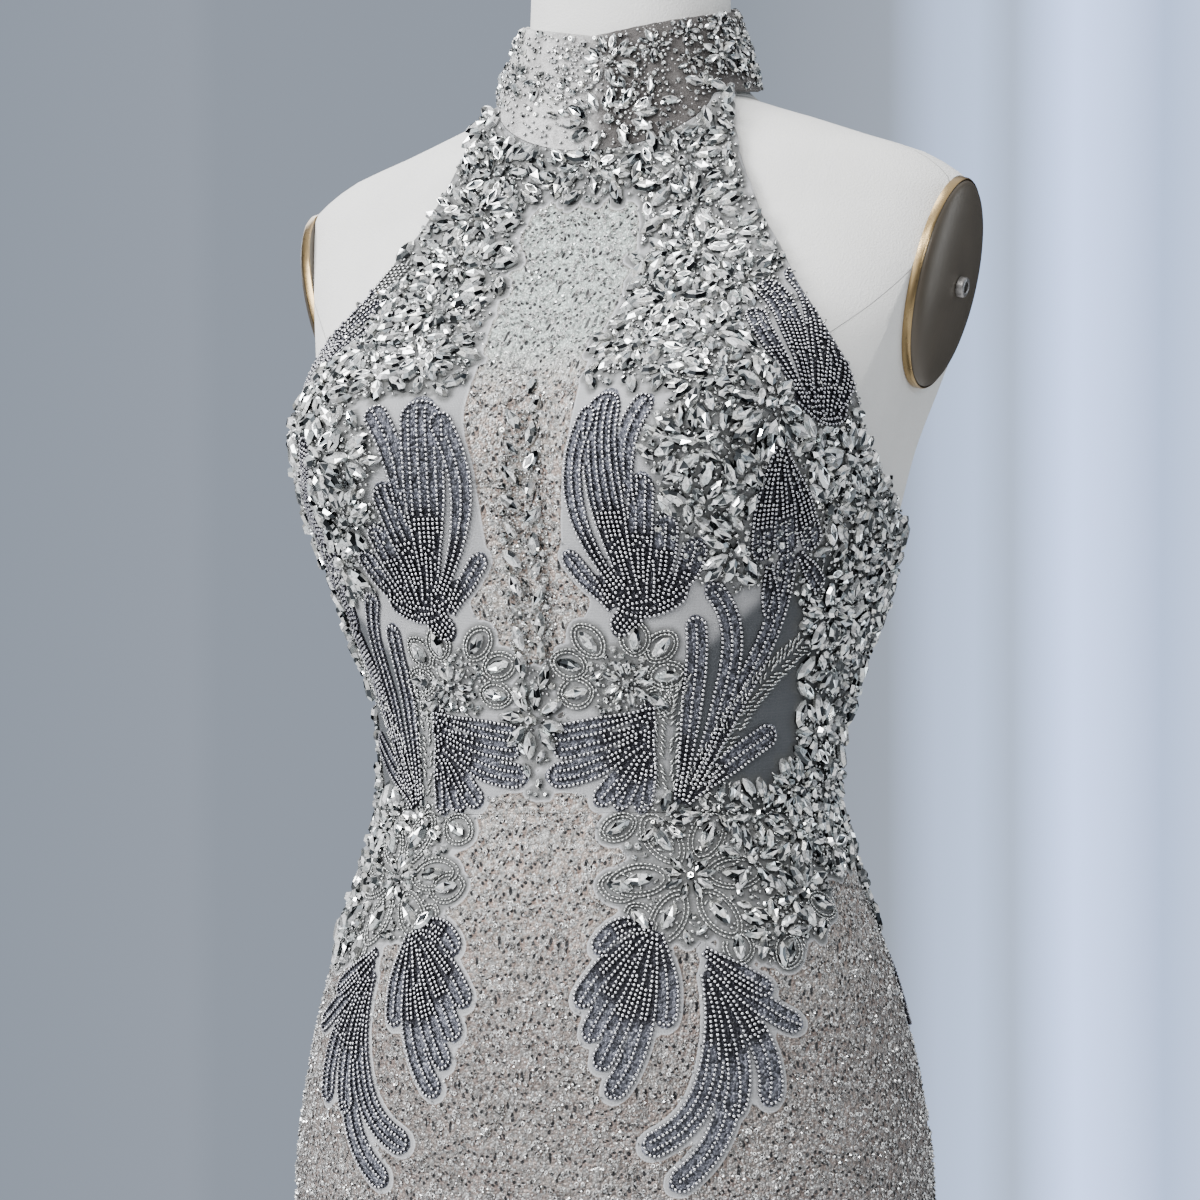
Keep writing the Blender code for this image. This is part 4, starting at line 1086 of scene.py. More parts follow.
# The vine: pointed stones that lean out in turn, a chaton beside each, and a flower at its foot.
vine_z = np.arange(VINE_LOW_Z + 0.004, VINE_TOP_Z, VINE_PITCH)
vine_side = np.where(np.arange(len(vine_z)) % 2, 1.0, -1.0)
vine_long = np.where(np.arange(len(vine_z)) % 3, 0.0140, 0.0106)
vine_sizes = np.stack([vine_long * 0.47, vine_long, np.full(len(vine_z), 0.0036)], -1)
vine_leans = vine_side * dice.uniform(4, 52, len(vine_z))
lay("marquise", vine_side * 1.9, vine_z, vine_leans, vine_sizes, 0.0010, 14.0, 0.0026, False)
lay("chaton", -vine_side * 3.2, vine_z + 0.002, 0.0, CHATON, 0.0003, 10.0, 0.0018)
lay("marquise", 0.0, VINE_TOP_Z + 0.004, 8.0, (0.0052, 0.0115, 0.0030), 0.0006, 8.0, 0.003, False)
flower(-0.5, 1.154, 8, 0.0150, 10.0, False)
lay("chaton", dice.uniform(-3.4, 3.4, 90), dice.uniform(VINE_LOW_Z, VINE_TOP_Z, 90), 0.0,
    (0.0030, 0.0030, 0.0022), 0.0, 9.0, 0.0016)
lay("seed", dice.uniform(-3.6, 3.6, 380), dice.uniform(VINE_LOW_Z - 0.02, VINE_TOP_Z, 380), 0.0,
    (0.0018, 0.0018, 0.0016), 0.0, 5.0, 0.0010)
for deg, z, turn, length in ((-2.4, 1.139, 146.0, 0.0090), (0.8, 1.135, 208.0, 0.0084),
                             (-1.6, 1.128, 166.0, 0.0078), (0.4, 1.121, 192.0, 0.0066)):
    lay("marquise", deg, z, turn, (length * 0.46, length, 0.0028), 0.0004, 8.0, 0.002, False)
lay("chaton", dice.uniform(-2.6, 2.2, 14), dice.uniform(1.114, 1.142, 14), 0.0, (0.0026, 0.0026, 0.0020),
    0.0, 9.0, 0.0014)
# Rows of bright beads bind the halter's edge on the wearer's right.
edge_line = np.linspace(1.312, 1.398, 80)
for row in range(EDGE_ROWS):
    row_deg = -halter_edge(edge_line) + (0.0032 + EDGE_ROW_PITCH * row) / CLOTH_DEGREE
    lay("seed", *even_spots(row_deg, edge_line, 0.0027), 0.0, (0.0024, 0.0024, 0.0022), 0.0, 5.0, 0.0010)
for ear in mirrored(EARS):
    rib_deg, rib_z, length = finger_line(Finger(*ear, 0.003, 0.0), np.linspace(0, 1, 28))
    rib_deg, rib_z, turns = line_turns(*even_spots(rib_deg, rib_z, 0.0029))
    count = len(rib_deg)
    for slant in (34, -34):
        for reach in (0.0021, 0.0055):
            kept = dice.random(count) < 0.85
            angle = np.radians(turns + 90 * np.sign(slant))
            away = reach + dice.uniform(-0.0005, 0.0005, count)
            deg, z = walk(rib_deg, rib_z, away * np.sin(angle), away * np.cos(angle))
            leans = turns + slant + dice.uniform(-14, 14, count)
            lay("bugle", deg[kept], z[kept], leans[kept], (0.0012, 0.0040, 0.0013), 0.0, 8.0, 0.0006, False)
for cluster in clusters:
    fill(cluster.deg, cluster.z, cluster.radius, 200, LARGE)
crust(9000, LARGE)
for cluster in clusters:
    fill(cluster.deg, cluster.z, cluster.radius * 1.05, 160, SMALL)
crust(14000, SMALL)
for bloom in blooms:
    fill(bloom.deg, bloom.z, bloom.radius, 300, SMALL)
    fill(bloom.deg, bloom.z, bloom.radius, 400, FILLING)
for cluster in clusters:
    fill(cluster.deg, cluster.z, cluster.radius * 1.1, 260, FILLING)
crust(18000, FILLING)
# Spots round which the applique's own net is cut: a marquise counts at three places along its length. The
# vine has no net of its own.
net_spots = []
for kind, placed in stones.items():
    for point, along, normal, size in placed:
        if abs(point[0]) < VINE_HALF_WIDTH and VINE_LOW_Z + 0.014 < point[2] < VINE_NET_TOP_Z:
            continue
        for share in (-0.3, 0.0, 0.3) if kind == "marquise" else (0.0,):
            net_spots.append((point + along * size[1] * share, 0.5 * size[0]))

# ---- Skirt panels -------------------------------------------------------------------------------------
# Nude net, beaded all over in staggered rows and cut as a front and two backs. It is joined at the waist,
# fits to the hip and flares into soft flutes below the knee.
COARSE = 4
LOOP_WIDTH = 0.0080
LOOP_HEIGHT = 0.0082
NET_MARGIN = 0.0028          # of the appliques' own net round a bead or stone
MINT_LOW_Z = 1.318           # the centre panel turns from nude to mint above it
MINT_HALF_DEG = 16.0
SHEER_HALF_DEG = 30.5        # the dark sheer sides start there
SHEER_TOP_Z = 1.262
SIDE_BLEND_DEG = 3.0
NUDE = (0.50, 0.385, 0.335)
NUDE_PALE = (0.53, 0.475, 0.425)
MINT = (0.64, 0.73, 0.70)
TULLE = (0.36, 0.365, 0.375)
MESH_GREY = (0.055, 0.062, 0.070)
LAVENDER = (0.250, 0.260, 0.315)

# Arc length round the cloth from centre front, over a grid of angles and heights.
table_deg = np.arange(-180.0, 180.5, 2.0)
table_z = np.linspace(HEM_Z, 1.495, 190)
table_grid = np.meshgrid(table_deg, table_z)
table_points = on_cloth(*table_grid)
table_arc = lengths_along(table_points)
table_arc -= table_arc[:, len(table_deg) // 2][:, None]


def arc_length(deg, z):
    column = np.clip((np.asarray(deg) + 180.0) / 2.0, 0, len(table_deg) - 1.001)
    row = np.clip((np.asarray(z) - table_z[0]) / (table_z[1] - table_z[0]), 0, len(table_z) - 1.001)
    i, j = column.astype(int), row.astype(int)
    s, t = column - i, row - j
    low = table_arc[j, i] * (1 - s) + table_arc[j, i + 1] * s
    high = table_arc[j + 1, i] * (1 - s) + table_arc[j + 1, i + 1] * s
    return low * (1 - t) + high * t


def degrees_at(arc, z):
    """The angle at which the cloth's arc length from centre front is this long."""
    deg = np.asarray(arc) / CLOTH_DEGREE
    for _ in range(8):
        here = arc_length(deg, z)
        rate = arc_length(deg + 0.5, z) - arc_length(deg - 0.5, z)
        deg = np.clip(deg + (arc - here) / np.maximum(rate, 1e-5), -180, 180)
    return deg


def leaf_distance(points, edges):
    """Distance from points to the nearest of these fingers' edges, negative inside."""
    nearest = np.full(len(points), FAR)
    for centres, widths in edges:
        middle = centres.mean(0)
        reach = np.linalg.norm(centres - middle, axis=1).max() + 0.03
        near = np.where(((points - middle) ** 2).sum(1) < reach * reach)[0]
        if len(near) == 0:
            continue
        some = points[near]
        best = nearest[near]
        for a, b, wa, wb in zip(centres[:-1], centres[1:], widths[:-1], widths[1:]):
            along = b - a
            share = np.clip(((some - a) @ along) / max(along @ along, 1e-12), 0, 1)
            gap = np.linalg.norm(some - a - share[:, None] * along, axis=1) - (wa + (wb - wa) * share)
            best = np.minimum(best, gap)
        nearest[near] = best
    return nearest


stone_tree = kdtree.KDTree(len(net_spots))
for index, (point, reach) in enumerate(net_spots):
    stone_tree.insert(point, index)
stone_tree.balance()


def stone_distance(points):
    """Distance from points to the nearest set shape's edge."""
    found = np.empty(len(points))
    for index, point in enumerate(points.tolist()):
        spot, which, gap = stone_tree.find(point)
        found[index] = gap - net_spots[which][1]
    return np.minimum(found, FAR)


# The nude and mint centre panel ends where the bodice's grey net begins.
panel_edge = smooth_curve(
    [1.105, 1.112, 1.124, 1.147, 1.170, 1.198, 1.215, 1.240, 1.270, 1.310, 1.335, 1.370, 1.400, 1.424, 1.440],
    [24.0, 12.0, 1.5, 3.5, 8.0, 8.5, 11.5, 6.5, 7.0, 8.6, 8.2, 8.6, 8.8, 8.0, 0.0])


def cloth_marks(deg, z):
    """Where the net, the fronds, the mint centre and the sheer sides lie on the cloth."""
    points = on_cloth(deg, z)
    leaf = leaf_distance(points, finger_edges)
    stone = stone_distance(points)
    net = np.minimum(leaf, stone) - NET_MARGIN
    size = np.abs(deg)
    over_net = (panel_edge(z) - size) * 0.0027
    net = np.where(z > WAIST_Z, np.minimum(net, over_net), net)
    mint = smoothstep((z - MINT_LOW_Z) / 0.035) * smoothstep((MINT_HALF_DEG - size) / SIDE_BLEND_DEG)
    sheer_top = np.minimum(1.192 + (size - 35.0) * 0.002, SHEER_TOP_Z)
    beside_front = smoothstep((size - SHEER_HALF_DEG) / SIDE_BLEND_DEG)
    sheer = smoothstep((sheer_top - z) / 0.012) * beside_front * (z > WAIST_Z)
    dense = leaf_distance(points, dense_edges)
    return {"leaf": leaf, "dense": dense, "net": net, "stone": stone, "mint": mint, "sheer": sheer}


def cloth_shell(name, deg, z, material, mitre=None):
    """A closed wall over a grid of angles and heights: a fine outer face, a plainer inner face and a rim."""
    rows, columns = deg.shape
    marks = {key: value.ravel() for key, value in cloth_marks(deg.ravel(), z.ravel()).items()}
    base = cloth_surface(deg, z)
    normal = spot_frame(deg, z)[2]
    inside = base + normal * clearance(z)
    if mitre is not None:
        normal[-1] = mitre
    relief = NET_LIFT * smoothstep(0.5 - marks["net"] / 0.0012).reshape(rows, columns)
    relief[0] = relief[-1] = relief[:, 0] = relief[:, -1] = 0.0
    outside = inside + normal * (WALL + relief)[..., None]
    coarse = slice(None, None, COARSE), slice(None, None, COARSE)
    outer = np.arange(rows * columns).reshape(rows, columns)
    tall, wide = outer[coarse].shape
    inner = outer.size + np.arange(tall * wide).reshape(tall, wide)
    faces = grid_quads(rows, columns) + [quad[::-1] for quad in grid_quads(tall, wide, outer.size)]
    rims = [(grid[0], grid[-1], grid[:, 0], grid[:, -1]) for grid in (inner, outer)]
    for near, far in zip(*rims):
        for i in range(len(near) - 1):
            faces.append([int(k) for k in (near[i], *far[i * COARSE:(i + 1) * COARSE + 1], near[i + 1])])
    mesh = new_mesh(name, np.concatenate([outside.reshape(-1, 3), inside[coarse].reshape(-1, 3)]), faces)
    faces_out(mesh)
    flat = np.stack([arc_length(deg, z), z], -1)
    flat = np.concatenate([flat.reshape(-1, 2), flat[coarse].reshape(-1, 2)])
    corners = np.empty(len(mesh.loops), np.int32)
    mesh.loops.foreach_get("vertex_index", corners)
    mesh.uv_layers.new(name="cloth").data.foreach_set("uv", flat[corners].ravel().astype(np.float32))
    for key, value in marks.items():
        both_faces = key in ("mint", "sheer")
        behind = value.reshape(rows, columns)[coarse].ravel() if both_faces else np.full(tall * wide, FAR)
        mark_points(mesh, key, np.concatenate([value, behind]))
    return add_piece(name, mesh, material, 60)


def beaded_net():
    """Nude net under rows of clear bead loops, with grey tulle and sequins where the applique lies."""
    n = Nodes("beaded_net")
    flat = n.add("ShaderNodeUVMap", uv_map="cloth")
    across, height = n.parts(flat)[:2]
    net = n.ramp(n.attribute("net"), 0.0003, -0.0003)
    # Painted highlight: the tulle is lighter in a band just inside the applique net's cut edge.
    rim = n.times(n.ramp(n.attribute("net"), -0.0014, -0.0004), net)
    leaf = n.ramp(n.attribute("leaf"), 0.0003, -0.0004)
    mint = n.attribute("mint")
    sheer = n.attribute("sheer")

    # Staggered cells, one bead loop in each.
    wavy = n.math("ADD", height, n.line(n.noise(flat, 55.0, 1.0), 0.020, -0.010))
    in_rows = n.math("DIVIDE", wavy, LOOP_HEIGHT)
    row = n.math("FLOOR", in_rows)
    stagger = n.times(n.math("MODULO", row, 2.0), 0.5)
    column = n.math("ADD", n.math("DIVIDE", across, LOOP_WIDTH), stagger)
    cell = n.add("ShaderNodeCombineXYZ", n.math("FLOOR", column), row, 0.0)
    chance = n.chance(cell)
    drift = n.parts(n.chance(cell, output=1))
    x = n.minus(n.math("FRACT", column), n.line(drift[0], 0.26, 0.37))
    y = n.minus(n.math("FRACT", in_rows), n.line(drift[1], 0.40, 0.30))

    def oval(centre_x, centre_y, half_x, half_y):
        """Distance from a spot of the cell, where 1 is the oval's edge."""
        dx = n.math("DIVIDE", n.minus(x, centre_x), half_x)
        dy = n.math("DIVIDE", n.minus(y, centre_y), half_y)
        return n.math("SQRT", n.math("ADD", n.times(dx, dx), n.times(dy, dy)))

    loop = oval(-0.05, 0.10, 0.17, 0.21)
    ring = n.times(n.ramp(loop, 0.55, 0.8), n.ramp(loop, 1.25, 1.0))
    bare = n.ramp(oval(0.30, -0.16, 0.36, 0.36), 1.25, 0.55)
    shadow = n.times(n.ramp(oval(0.30, -0.16, 0.20, 0.27), 1.3, 0.5), n.ramp(chance, 0.05, 0.60))
    dots = 0.0
    for dot_oval in ((-0.30, 0.10, 0.120, 0.114), (0.27, 0.02, 0.118, 0.112), (0.04, -0.22, 0.114, 0.108)):
        dots = n.math("MAXIMUM", n.ramp(oval(*dot_oval), 1.2, 0.85), dots)
    dots = n.times(dots, n.ramp(chance, 0.12, 0.18))

    # Fine glass grain: packed beads under a millimetre and a half, each tipped its own way.
    from_tip, tip_place = n.cells(flat, 640.0, 0.85)
    tip = n.chance(tip_place)
    glint = n.times(n.ramp(tip, 0.86, 0.89), n.ramp(from_tip, 0.60, 0.40))
    dark = n.times(n.ramp(tip, 0.31, 0.21), n.ramp(from_tip, 0.55, 0.30))
    dome = n.minus(1.0, n.times(from_tip, 1.4))
    cloud = n.noise(flat, 26.0, 3.0, 0.6)

    ground = n.mix(n.ramp(cloud, 0.3, 0.7), NUDE, NUDE_PALE)
    ground = n.mix(mint, ground, MINT)
    silver = n.mix(n.ramp(tip, 0.30, 0.85), (0.155, 0.152, 0.145), (0.88, 0.88, 0.86))
    silver = n.mix(n.times(mint, 0.75), silver, (0.52, 0.58, 0.55))
    beaded = n.line(bare, -0.72, 0.92)
    ground = n.mix(n.times(n.ramp(tip, 0.25, 0.45), beaded), ground, silver)
    ground = n.mix(n.times(shadow, n.line(mint, -0.6, 0.72)), ground, (0.25, 0.155, 0.12))
    ground = n.mix(n.times(dark, n.line(mint, -0.40, 0.95)), ground, (0.08, 0.08, 0.08))
    ground = n.mix(n.times(ring, 0.70), ground, (0.92, 0.92, 0.91))
    # Painted shade: from the waist down to 0.97 m and on to the hem the ground is darkened, as light falls
    # off lower down.
    low_shade = n.times(n.ramp(height, 1.10, 0.97), 0.56)
    ground = n.mix(low_shade, ground, (0.15, 0.130, 0.126))
    ground = n.mix(n.times(glint, 0.95), ground, (1.0, 1.0, 1.0))
    # Painted shadow: the ground turns brown in a band about 2 mm wide round each applique's net, as the
    # raised net's contact shadow.
    under = n.ramp(n.attribute("net"), 0.0022, 0.0002)
    ground = n.mix(n.times(under, 0.55), ground, (0.22, 0.17, 0.14))
    ground = n.mix(dots, ground, (0.012, 0.012, 0.014))

    # Tulle: a fine hexagonal net. Sequins inside the fingers.
    weave = n.ramp(n.cells(flat, 1300.0, 0.25)[0], 0.25, 0.6)
    tulle = n.mix(sheer, TULLE, MESH_GREY)
    tulle = n.mix(n.times(weave, n.blend(sheer, 0.22, 0.07)), tulle, (0.70, 0.71, 0.75))
    shaded = n.times(n.ramp(n.attribute("stone"), 0.0034, 0.0004), n.blend(sheer, 0.72, 0.40))
    tulle = n.mix(shaded, tulle, (0.105, 0.108, 0.102))
    tulle = n.mix(n.times(rim, n.blend(sheer, 0.55, 0.12)), tulle, (0.66, 0.67, 0.70))
    sequins = n.mix(n.ramp(tip, 0.15, 0.8), (0.045, 0.048, 0.060), LAVENDER)
    sequins = n.mix(glint, sequins, (0.66, 0.69, 0.78))
    # Near-black sequins between close-set beads: partly the dark thread there, partly painted shade of the
    # beads.
    dense = n.ramp(n.attribute("dense"), 0.0040, -0.0020)
    sequins = n.mix(n.times(dense, 0.90), sequins, (0.022, 0.022, 0.030))
    colour = n.mix(net, ground, n.mix(leaf, tulle, sequins))

    glass = n.times(n.minus(1.0, net), 0.40)
    metallic = n.math("ADD", glass, n.times(n.times(leaf, net), 0.45))
    metallic = n.times(metallic, n.minus(1.0, n.math("MAXIMUM", dots, shadow)))
    roughness = n.blend(net, n.line(glint, -0.20, 0.34), n.blend(leaf, 0.75, 0.30))
    bead_height = n.line(ring, 0.9, n.times(dome, n.line(tip, 0.9, 0.5)))
    net_height = n.blend(leaf, n.times(weave, 0.12), n.times(bead_height, 0.8))
    total = n.blend(net, bead_height, net_height)
    return n.finish(colour, roughness, metallic, total, 0.0013, Sheen_Weight=0.05)


def steps(low, high, count):
    return np.linspace(low, high, count + 1)


def pull_in(deg, z, near_gap, far_gap):
    """Move a panel's two edge columns off its seam lines by these lengths."""
    deg = deg.copy()
    for column, gap in ((0, near_gap), (-1, -1 * np.asarray(far_gap))):
        per_degree = np.linalg.norm(slopes(deg[:, column], z[:, column])[0], axis=-1)
        deg[:, column] += gap / per_degree
    return deg


def centre_back_gap(z):
    """How far the back panels stop from centre back: beside the zip, or at the plain seam."""
    return np.where(z > ZIP_END_Z, ZIP_WIDTH / 2 + SEAM_GAP, SEAM_GAP / 2)


def face_area(deg, z):
    points = cloth_surface(deg, z)
    across = np.diff(points, axis=1)[:-1]
    up = np.diff(points, axis=0)[:, :-1]
    return float(np.linalg.norm(np.cross(across, up), axis=-1).sum())


cloth_finish = beaded_net()
half_gap = SEAM_GAP / 2
skirt_z = np.concatenate([steps(HEM_Z, HIP_Z, 72), steps(HIP_Z, WAIST_Z - half_gap, 96)[1:]])
for name, low, high, count in (
    ("skirt_front", -SIDE_SEAM, SIDE_SEAM, 176),
    ("skirt_back_left", SIDE_SEAM, 180.0, 68),
    ("skirt_back_right", -180.0, -SIDE_SEAM, 68),
):
    deg, z = np.meshgrid(steps(low, high, count), skirt_z)
    near = centre_back_gap(skirt_z) if name == "skirt_back_right" else half_gap
    far = centre_back_gap(skirt_z) if name == "skirt_back_left" else half_gap
    deg = pull_in(deg, z, near, far)
    panel = cloth_shell(name + "_cloth", deg, z, cloth_finish)
    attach(panel, "root")
    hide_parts(name)
    round(face_area(deg, z), 3)

# ---- Bodice panels ------------------------------------------------------------------------------------
# The same net, sewn close to the form: a front cut in to a halter, and two backs under the open back.
deg_share = steps(-1.0, 1.0, 176)
front_z = np.concatenate([steps(WAIST_Z + half_gap, UNDERARM_Z, 60),
                          steps(UNDERARM_Z, HALTER[-1].front_z - half_gap, 84)[1:]])
edge_deg, edge_z = column_curves(HALTER)
reach = np.where(front_z > UNDERARM_Z, edge_deg(front_z), SIDE_SEAM)
at_edge = np.where(front_z > UNDERARM_Z, edge_z(front_z), front_z)
bodice_deg = reach[:, None] * deg_share[None, :]
bodice_z = front_z[:, None] + (at_edge - front_z)[:, None] * smoothstep(np.abs(deg_share))[None, :]
bodice_deg = pull_in(bodice_deg, bodice_z, half_gap, half_gap)

CollarLine = namedtuple("CollarLine", "deg seam_z top_z")
COLLAR = (
    CollarLine(0.0, 1.4585, 1.521),
    CollarLine(56.0, 1.4880, 1.531),
    CollarLine(90.0, 1.4915, 1.537),
    CollarLine(130.0, 1.5000, 1.546),
    CollarLine(180.0, 1.5080, 1.553),
)
COLLAR_STAND_OFF = 0.0024


def collar_seam_z(deg):
    """Height of the collar seam: the front's own curve, then the collar's table."""
    deg = np.abs(deg)
    return np.where(deg < HALTER[-1].edge_deg, front_seam_z(deg), column_curves(COLLAR[1:])[0](deg))


def collar_lines(deg):
    """Points of the collar's seam and top edge, on the inside of the cloth."""
    seam_height = collar_seam_z(deg)
    top_height = column_curves(COLLAR)[1](np.abs(deg))
    seam = cloth_surface(deg, seam_height)
    seam = seam + spot_frame(deg, seam_height)[2] * clearance(seam_height)
    top_out = spot_frame(deg, top_height)[2]
    top_out[..., 2] = 0
    return seam, cloth_surface(deg, top_height) + top_out * COLLAR_STAND_OFF


def collar_normals(deg):
    near = collar_lines(deg - 0.5)
    far = collar_lines(deg + 0.5)
    seam, top = collar_lines(deg)
    return unit(np.cross(far[0] + far[1] - near[0] - near[1], top - seam))


def collar_mitre(deg):
    """The direction that halves the corner between the bodice and the collar."""
    return unit(spot_frame(deg, collar_seam_z(deg))[2] + collar_normals(deg))


mitre = collar_mitre(bodice_deg[-1])
bodice_front = cloth_shell("bodice_front_cloth", bodice_deg, bodice_z, cloth_finish, mitre)
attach(bodice_front, "root")
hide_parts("bodice_front")
round(face_area(bodice_deg, bodice_z), 3)
across = steps(SIDE_SEAM, 180.0, 68)
back_edge = back_cut_z(across)
low = WAIST_Z + half_gap
share = steps(0.0, 1.0, 44)
for name, flip in (("bodice_back_left", False), ("bodice_back_right", True)):
    deg = np.repeat(across[None, :], len(share), axis=0)
    z = low + share[:, None] * (back_edge - low)[None, :]
    deg = pull_in(deg, z, half_gap, centre_back_gap(z[:, -1]))
    if flip:
        deg, z = -deg[:, ::-1], z[:, ::-1]
    panel = cloth_shell(name + "_cloth", deg, z, cloth_finish)
    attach(panel, "root")
    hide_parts(name)
    round(face_area(deg, z), 4)

# ---- Stand collar -------------------------------------------------------------------------------------
# A straight band of doubled sheer tulle round the neck, crusted with flowers of stones, hooked at the back.
COLLAR_BARE_DEG = 176.0      # the ends that hook together carry no stones
COLLAR_THROWN = 1400
COLLAR_CLUSTERS = (
    Cluster(7.0, 0.76, 0.0165, 11, 0.0100),
    Cluster(5.5, 0.74, 0.0180, 5, 0.0070),
    Cluster(5.0, 0.25, 0.0200, 11, 0.0130),
    Cluster(16.0, 0.30, 0.0120, 4, 0.0105),
    Cluster(-6.0, 0.50, 0.0100, 4, 0.0070),
    Cluster(-13.0, 0.78, 0.0080, 5, 0.0055),
    Cluster(-20.0, 0.52, 0.0070, 4, 0.0050),
    Cluster(14.0, 0.50, 0.0090, 4, 0.0070),
    Cluster(-38.0, 0.45, 0.0120, 6, 0.0080),
    Cluster(-58.0, 0.80, 0.0100, 5, 0.0070),
    Cluster(-72.0, 0.35, 0.0120, 6, 0.0080),
    Cluster(27.0, 0.78, 0.0095, 5, 0.0065),
    Cluster(40.0, 0.48, 0.0080, 4, 0.0060),
    Cluster(45.0, 0.18, 0.0070, 2, 0.0120),
    Cluster(47.0, 0.82, 0.0110, 6, 0.0065),
    Cluster(63.0, 0.45, 0.0170, 7, 0.0100),
    Cluster(71.0, 0.85, 0.0110, 5, 0.0070),
    Cluster(80.0, 0.62, 0.0150, 6, 0.0090),
    Cluster(92.0, 0.25, 0.0120, 6, 0.0080),
    Cluster(-98.0, 0.68, 0.0120, 6, 0.0080),
    Cluster(118.0, 0.50, 0.0130, 6, 0.0080),
    Cluster(-124.0, 0.45, 0.0130, 6, 0.0080),
    Cluster(148.0, 0.55, 0.0120, 5, 0.0080),
    Cluster(-152.0, 0.55, 0.0120, 5, 0.0080),
)


def tulle_band():
    """Doubled tulle with fine hexagonal holes and grey clouds; its half on the wearer's left is painted dark
    as shade.
    """
    n = Nodes("collar_tulle")
    place = n.object_place()
    cloud = n.noise(place, 38.0, 4.0, 0.65)
    speck = n.cells(place, 520.0)[0]
    weave = n.ramp(n.cells(place, 1100.0)[0], 0.25, 0.6)
    colour = n.mix(n.ramp(cloud, 0.35, 0.65), (0.36, 0.355, 0.35), (0.84, 0.835, 0.83))
    colour = n.mix(n.times(weave, 0.2), colour, (0.62, 0.61, 0.61))
    # Painted shade: the half of the band on the wearer's left, away from the key light, is painted near
    # black.
    shade_side = n.times(n.ramp(n.parts(place)[0], -0.012, 0.012), 0.96)
    colour = n.mix(shade_side, colour, (0.050, 0.043, 0.040))
    colour = n.mix(n.ramp(speck, 0.20, 0.10), colour, (0.86, 0.86, 0.86))
    return n.finish(colour, 0.6, 0.1, n.line(weave, 0.4, cloud), 0.0006, Sheen_Weight=0.2)


def collar_spots(deg, share, lifts):
    """Points, directions and fit of spots on the collar's outer face."""
    seam, top = collar_lines(deg)
    out = collar_normals(deg)
    up = unit(top - seam)
    points = seam + (top - seam) * share[:, None] + out * (WALL + np.broadcast_to(lifts, len(deg)))[:, None]
    fits = (share > 0.02) & (share < 0.98) & (np.abs(deg) < COLLAR_BARE_DEG)
    return points, np.cross(up, out), up, out, fits


slit = math.degrees(SEAM_GAP / 2 / TORSO[-2].back)
collar_deg = steps(-180.0 + slit, 180.0 - slit, 240)
collar_share = steps(0.0, 1.0, 20)
seam, top = collar_lines(collar_deg)
seam = seam + np.array([0, 0, SEAM_GAP])
collar_in = seam[None] + (top - seam)[None] * collar_share[:, None, None]
collar_out = np.repeat(collar_normals(collar_deg)[None], len(collar_share), axis=0)
collar_out[0] = collar_mitre(collar_deg)
pucker = 0.0004 * np.sin(np.radians(collar_deg) * 37)[None, :] * smoothstep(collar_share * 4)[:, None]
wall = (WALL + pucker * smoothstep((180.0 - np.abs(collar_deg)) / 6)[None, :])[..., None]
collar_outside = collar_in + collar_out * wall
rows, columns = collar_outside.shape[:2]
first = rows * columns
faces = grid_quads(rows, columns) + [quad[::-1] for quad in grid_quads(rows, columns, first)]
grid = np.arange(first).reshape(rows, columns)
border = np.concatenate([grid[0], grid[1:, -1], grid[-1, -2::-1], grid[-2:0:-1, 0]]).tolist()
faces += [[border[i - 1], border[i], border[i] + first, border[i - 1] + first] for i in range(len(border))]
collar_mesh = new_mesh("collar", np.concatenate([collar_outside, collar_in]), faces)
faces_out(collar_mesh)
collar = add_piece("collar_cloth", collar_mesh, tulle_band(), 60)
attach(collar, "root")
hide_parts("collar")

COLLAR_HEIGHT = 0.060
COLLAR_DEGREE = 0.0011
collar_room = Packing()


def round_collar(cluster, away, bearings):
    """Angles and shares of the collar's height of spots at these bearings from a cluster's centre."""
    angle = np.radians(bearings)
    share = cluster.z + away * np.cos(angle) / COLLAR_HEIGHT
    return cluster.deg + away * np.sin(angle) / COLLAR_DEGREE, share


for cluster in COLLAR_CLUSTERS:
    bearings, away, heart = petal_ring(cluster.petals, cluster.petal, dice.uniform(0, 360))
    spots = collar_spots(np.array([cluster.deg]), np.array([cluster.z]), 0.0012)
    sizes = np.array([(heart * 1.5, heart * 1.5, heart)])
    settle("chaton", spots, collar_room, 0.0, sizes, 6.0, 0.001, False)
    spots = collar_spots(*round_collar(cluster, away, bearings), 0.0008)
    sizes = np.tile((cluster.petal * 0.46, cluster.petal, cluster.petal * 0.26), (cluster.petals, 1))
    settle("marquise", spots, collar_room, bearings, sizes, 16.0, cluster.petal * 0.22, False)
    away, bearings, kinds, sizes, claims = throw(200, SMALL + FILLING[:2])
    spots = collar_spots(*round_collar(cluster, away * cluster.radius, bearings), dice.uniform(0, 0.001, 200))
    settle(kinds, spots, collar_room, bearings, sizes, 16.0, claims)
away, bearings, kinds, sizes, claims = throw(COLLAR_THROWN, SMALL[1:] + FILLING + FILLING[:2])
thrown_deg = dice.uniform(-COLLAR_BARE_DEG, COLLAR_BARE_DEG, COLLAR_THROWN)
thrown_share = dice.uniform(0.03, 0.97, COLLAR_THROWN)
settle(kinds, collar_spots(thrown_deg, thrown_share, 0.0), collar_room, bearings, sizes, 8.0, claims * 1.15)

# ---- Setting shapes on the cloth ----------------------------------------------------------------------
# Every bead and stone is set by hand on the real gown. Here one node tree puts a small shape on each spot of
# a plan, turned and sized by the spot's own values.


